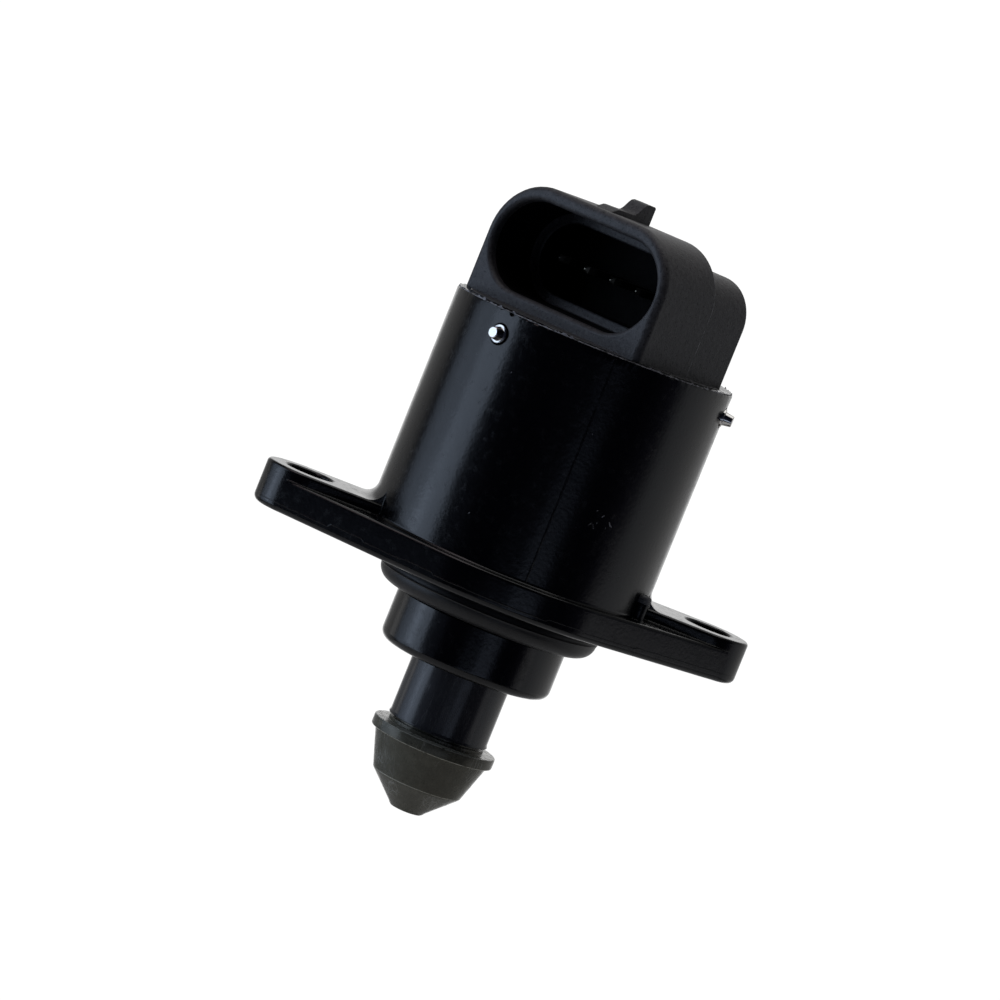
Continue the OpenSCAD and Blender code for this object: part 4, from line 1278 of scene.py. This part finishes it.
class VALVE_OT_tip(bpy.types.Operator):
    """Model the pintle tip: neck, collar and the two cones that meter the air"""

    bl_idname = "valve.tip"
    bl_label = "Pintle tip"

    def execute(self, context):
        s = sizes()
        bottom, spigot_top = low("pintle_tip").z, high("pintle_tip").z
        collar_r = high("pintle_tip").x
        tube_foot = low("plunger_tube").z
        neck_z = tube_foot - s.gap_h
        collar_z = neck_z - s.neck_h
        cone_z = collar_z - s.collar_h
        mid_z = cone_z - s.cone_h
        spigot_r = s.tube_r - s.tube_wall - 0.02 * MM
        shoulder_r = spigot_r + 0.6 * MM
        neck_r = s.tube_r - 0.12 * MM
        screw_r = high("lead_screw").x
        screw_z = low("lead_screw").z
        edge = 0.15 * MM
        end_r, mid_r, cone_r = s.end_r, s.mid_r, s.cone_r
        profile = [(0, bottom), (end_r - 0.45 * MM, bottom), (end_r - 0.15 * MM, bottom + 0.06 * MM),
                   (end_r + 0.08 * MM, bottom + 0.25 * MM), (end_r + 0.2 * MM, bottom + 0.42 * MM),
                   (mid_r - 0.25 * MM, mid_z - 0.28 * MM), (mid_r - 0.08 * MM, mid_z - 0.12 * MM),
                   (mid_r, mid_z), (mid_r + 0.06 * MM, mid_z + 0.15 * MM),
                   (mid_r + 0.12 * MM, mid_z + 0.35 * MM),
                   (cone_r - 0.03 * MM, cone_z - 0.1 * MM), (cone_r + 0.05 * MM, cone_z)]
        profile += arc(collar_r - edge, cone_z + edge, edge, -90, 0, 4)
        profile += arc(collar_r - edge, collar_z - edge, edge, 0, 90, 4)
        profile += [(s.tube_r - 0.02 * MM, collar_z), (neck_r, collar_z + 0.1 * MM)]
        profile += [(neck_r, neck_z), (shoulder_r, neck_z), (shoulder_r, tube_foot)]
        profile += [(spigot_r, tube_foot), (spigot_r, spigot_top), (screw_r, spigot_top), (screw_r, screw_z)]
        profile += [(0, screw_z)]
        piece = lathe("pintle_tip_body", profile, 192, ring=False)
        stand_for(piece, "pintle_tip", "plunger",
                  olive_grey((collar_z - 0.03 * MM, cone_z + 0.03 * MM, mid_z)))
        return {"FINISHED"}


# Inner pieces

class VALVE_OT_motor(bpy.types.Operator):
    """Finish the stepper motor inside the housing: stator sheets, bobbins, windings, washer and rotor"""

    bl_idname = "valve.motor"
    bl_label = "Motor"

    def execute(self, context):
        sheet = metal("pressed sheet steel", (0.52, 0.53, 0.54), (0.34, 0.34, 0.33), 0.30, 0.5 * MM)
        for node in ("lower_stator_cup", "lower_pole_plate", "upper_pole_plate", "upper_stator_cup",
                     "spring_seat"):
            paint(node, sheet)
        natural = moulding("natural moulding", (0.66, 0.61, 0.48), (0.56, 0.50, 0.37), 0.45)
        for node in ("lower_bobbin", "upper_bobbin", "rotor_nut"):
            paint(node, natural)
        copper = wound_copper()
        paint("lower_winding", copper)
        paint("upper_winding", copper)
        spring = metal("spring steel", (0.58, 0.57, 0.55), (0.36, 0.33, 0.30), 0.26, 0.25 * MM)
        paint("wave_washer", spring)
        paint("return_spring", spring)
        ferrite = moulding("dark ferrite", (0.030, 0.030, 0.032), (0.055, 0.052, 0.050), 0.55)
        paint("rotor_magnet", ferrite)
        return {"FINISHED"}


class VALVE_OT_bearings(bpy.types.Operator):
    """Finish the rotor's ball bearing and its upper bush"""

    bl_idname = "valve.bearings"
    bl_label = "Bearings"

    def execute(self, context):
        ground = metal("ground bearing steel", (0.62, 0.63, 0.65), (0.50, 0.50, 0.51), 0.14, 0.15 * MM)
        for node in ("bearing_outer_race", "bearing_inner_race", "bearing_balls"):
            paint(node, ground)
        brass = metal("pressed brass", (0.62, 0.44, 0.18), (0.42, 0.28, 0.11), 0.28, 0.3 * MM)
        paint("bearing_cage", brass)
        bronze = metal("sintered bronze", (0.52, 0.33, 0.14), (0.33, 0.20, 0.09), 0.42, 0.2 * MM)
        paint("upper_bush", bronze)
        return {"FINISHED"}


# Studio

# Brightness of the studio's walls by compass angle from straight behind the valve, positive to the right
DIM = (0.006, 0.007, 0.013)
WALLS = [(-180, DIM), (-120, DIM), (-64, (0.015, 0.016, 0.022)), (-55, 0.20), (-22, 0.27), (-14, 1.0),
         (13, 1.0), (24, 0.42), (52, 0.34), (90, (0.29, 0.30, 0.32)), (101, (0.03, 0.03, 0.05)),
         (125, DIM), (180, DIM)]
# Share of that brightness by height, in degrees above the horizon
HEIGHTS = [(-90, 0.2), (-35, 0.2), (-20, 1.0), (12, 1.0), (32, 0.45), (60, 0.3), (90, 0.2)]

BLUE = (0.74, 0.89, 1.13)
COOL = (0.80, 0.94, 1.24)
PALE = (1.0, 1.0, 1.0)
ROSE = (1.10, 0.90, 0.98)
# Lamps in metres: name, degrees from straight ahead with the right side positive, distance, height, height
# of the point aimed at, the face's width and height, radiance, tint
LAMPS = [
    ("left softbox near", -74, 0.8, 0.02, 0, 0.30, 0.9, 1.50, BLUE),
    ("left softbox middle", -92, 0.8, 0.02, 0, 0.24, 0.9, 0.87, BLUE),
    ("left softbox far", -105, 0.8, 0.02, 0, 0.15, 0.9, 0.60, BLUE),
    ("left low fill", -84, 0.35, -0.042, -0.02, 0.085, 0.024, 1.6, BLUE),
    ("left rear low fill", -119, 0.35, -0.06, -0.02, 0.075, 0.05, 0.50, PALE),
    ("left front low fill", -50, 0.35, -0.08, -0.015, 0.12, 0.10, 0.07, COOL),
    ("left near card", -60, 0.12, 0.03, 0.03, 0.014, 0.034, 0.55, BLUE),
    ("left high fill", -64, 0.42, 0.75, 0.03, 0.45, 0.45, 0.62, ROSE),
    ("right low fill", 78, 0.35, -0.08, -0.015, 0.085, 0.10, 0.32, PALE),
    ("low front fill", 23, 0.9, -0.20, -0.01, 0.32, 0.22, 0.36, COOL),
    ("low wide fill", 4, 0.9, -0.27, -0.01, 0.36, 0.22, 0.26, COOL),
]


class VALVE_OT_studio(bpy.types.Operator):
    """Set up the pale floor, the soft studio light and the camera"""

    bl_idname = "valve.studio"
    bl_label = "Studio"

    def execute(self, context):
        studio = context.scene.valve_studio
        self.camera(context.scene, studio)
        self.floor(studio)
        self.surround(context.scene, studio)
        self.lights(context.scene, studio)
        return {"FINISHED"}

    def camera(self, scene, studio):
        """The camera, turned round the valve, raised and rolled."""
        a, e, roll = studio.azimuth, studio.elevation, studio.roll
        right = Vector((math.cos(a), math.sin(a), 0))
        back = Vector((math.sin(a) * math.cos(e), -math.cos(a) * math.cos(e), math.sin(e)))
        up = back.cross(right)
        target = right * studio.aim_side + up * studio.aim_up
        across = right * math.cos(roll) + up * math.sin(roll)
        upright = up * math.cos(roll) - right * math.sin(roll)
        data = bpy.data.cameras.new("camera")
        data.lens = studio.lens
        data.sensor_width = 36
        data.clip_start = 0.01
        data.clip_end = 50
        camera = bpy.data.objects.new("camera", data)
        turn = Matrix((across, upright, back)).transposed().to_4x4()
        camera.matrix_world = Matrix.Translation(target + back * studio.distance) @ turn
        scene.collection.objects.link(camera)
        scene.camera = camera
        scene.view_settings.view_transform = "Standard"

    def floor(self, studio):
        """A pale round plate with a soft edge, that the valve stands over."""
        edge = 6 * MM
        r = 200 * MM
        profile = [(0, -edge), (r - 0.4 * edge, -edge)]
        profile += arc(r - edge / 2, -edge / 2, edge / 2, -60, 90, 8) + [(0, 0)]
        floor = lathe("floor", profile, 128, ring=False)
        placed(floor, Matrix.Translation((0, 0, -studio.floor_drop)))
        smooth(floor)
        finish = Finish("pale floor", (0.82, 0.82, 0.81), 0.6)
        finish.patches((0.78, 0.78, 0.775), 0.3, 0.8, 60 * MM, 3.0)
        finish.grain(0.05 * MM, 1.5 * MM)
        dress(floor, finish.material)

    def surround(self, scene, studio):
        """The studio's walls: a ring of brightness that the valve's gloss reflects. The camera sees white."""
        world = bpy.data.worlds.new("studio surround")
        scene.world = world
        world.use_nodes = True
        tree = world.node_tree
        tree.nodes.clear()

        def add(kind, **values):
            """A shader node with those settings."""
            made = tree.nodes.new(kind)
            for key, value in values.items():
                setattr(made, key, value)
            return made

        def bands(value, start, end, stops):
            """Colours along a value's range."""
            place = add("ShaderNodeMapRange")
            place.inputs["From Min"].default_value = start
            place.inputs["From Max"].default_value = end
            tree.links.new(value, place.inputs["Value"])
            level = add("ShaderNodeValToRGB")
            tree.links.new(place.outputs["Result"], level.inputs["Fac"])
            ends = level.color_ramp.elements
            while len(ends) < len(stops):
                ends.new(0.5)
            for stop, (at, bright) in zip(ends, stops):
                stop.position = (at - start) / (end - start)
                stop.color = (*bright, 1) if isinstance(bright, tuple) else (bright, bright, bright, 1)
            return level.outputs["Color"]

        def degrees(value, start=0.0):
            """Radians as degrees, counted from a start."""
            scaled = add("ShaderNodeMath", operation="MULTIPLY_ADD")
            tree.links.new(value, scaled.inputs[0])
            scaled.inputs[1].default_value = 180 / math.pi
            scaled.inputs[2].default_value = start
            return scaled.outputs["Value"]

        place = add("ShaderNodeTexCoord")
        split = add("ShaderNodeSeparateXYZ")
        turn = add("ShaderNodeMath", operation="ARCTAN2")
        rise = add("ShaderNodeMath", operation="ARCSINE")
        tree.links.new(place.outputs["Generated"], split.inputs["Vector"])
        tree.links.new(split.outputs["X"], turn.inputs[0])
        tree.links.new(split.outputs["Y"], turn.inputs[1])
        tree.links.new(split.outputs["Z"], rise.inputs[0])
        ring = bands(degrees(turn.outputs["Value"], math.degrees(studio.azimuth)), -180, 180, WALLS)
        height = bands(degrees(rise.outputs["Value"]), -90, 90, HEIGHTS)
        walls = add("ShaderNodeMix", data_type="RGBA", blend_type="MULTIPLY")
        walls.inputs["Factor"].default_value = 1.0
        tree.links.new(ring, walls.inputs["A"])
        tree.links.new(height, walls.inputs["B"])
        seen = add("ShaderNodeLightPath")
        shown = add("ShaderNodeMix", data_type="RGBA")
        tree.links.new(seen.outputs["Is Camera Ray"], shown.inputs["Factor"])
        tree.links.new(walls.outputs["Result"], shown.inputs["A"])
        shown.inputs["B"].default_value = (1.0, 1.0, 1.0, 1)
        light = add("ShaderNodeBackground")
        light.inputs["Strength"].default_value = 1.05
        out = add("ShaderNodeOutputWorld")
        tree.links.new(shown.outputs["Result"], light.inputs["Color"])
        tree.links.new(light.outputs["Background"], out.inputs["Surface"])

    def softbox(self, scene, name, place, aim, width, height, radiance, tint):
        """An area light whose face has that radiance."""
        data = bpy.data.lights.new(name, "AREA")
        data.shape = "RECTANGLE"
        data.size = width
        data.size_y = height
        data.energy = radiance * math.pi * width * height
        data.color = tint
        lamp = bpy.data.objects.new(name, data)
        turn = (Vector(aim) - Vector(place)).to_track_quat("-Z", "Y").to_matrix().to_4x4()
        lamp.matrix_world = Matrix.Translation(place) @ turn
        scene.collection.objects.link(lamp)

    def lights(self, scene, studio):
        """The lamps round the valve, one overhead and one that washes the floor."""
        front = studio.azimuth - math.pi / 2
        for name, turn, distance, z, aim_z, width, height, radiance, tint in LAMPS:
            a = front + math.radians(turn)
            place = (math.cos(a) * distance, math.sin(a) * distance, z)
            self.softbox(scene, name, place, (0, 0, aim_z), width, height, radiance, tint)
        self.softbox(scene, "overhead softbox", (0, 0.1, 0.75), (0, 0, 0), 0.7, 0.7, 0.9, PALE)
        wash = studio.floor_drop - 60 * MM
        self.softbox(scene, "floor wash", (0, 0, -wash), (0, 0, -1), 0.36, 0.36, 0.06, PALE)


class VALVE_PT_pieces(bpy.types.Panel):
    """Lists the pieces and the studio"""

    bl_label = "Idle air control valve"
    bl_idname = "VALVE_PT_pieces"
    bl_space_type = "VIEW_3D"
    bl_region_type = "UI"
    bl_category = "Valve"

    def draw(self, context):
        for operator in OPERATORS:
            self.layout.operator(operator.bl_idname)
        for group in (context.scene.valve_sizes, context.scene.valve_colours, context.scene.valve_studio):
            column = self.layout.column(align=True)
            for name in group.bl_rna.properties.keys():
                if name not in ("rna_type", "name"):
                    column.prop(group, name)


GROUPS = {"valve_sizes": ValveSizes, "valve_colours": ValveColours, "valve_studio": ValveStudio}
OPERATORS = (
    VALVE_OT_studio, VALVE_OT_housing, VALVE_OT_seal, VALVE_OT_cap, VALVE_OT_pins,
    VALVE_OT_tube, VALVE_OT_tip, VALVE_OT_motor, VALVE_OT_bearings,
)


def register():
    """Makes the tools and their settings known to Blender."""
    for one in (*GROUPS.values(), *OPERATORS, VALVE_PT_pieces):
        bpy.utils.register_class(one)
    for name, group in GROUPS.items():
        setattr(bpy.types.Scene, name, bpy.props.PointerProperty(type=group))


def unregister():
    """Takes them away again."""
    for name in GROUPS:
        delattr(bpy.types.Scene, name)
    for one in reversed((*GROUPS.values(), *OPERATORS, VALVE_PT_pieces)):
        bpy.utils.unregister_class(one)


def main():
    """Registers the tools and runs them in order."""
    register()
    for operator in OPERATORS:
        area, name = operator.bl_idname.split(".")
        getattr(getattr(bpy.ops, area), name)()


if __name__ == "__main__":
    main()
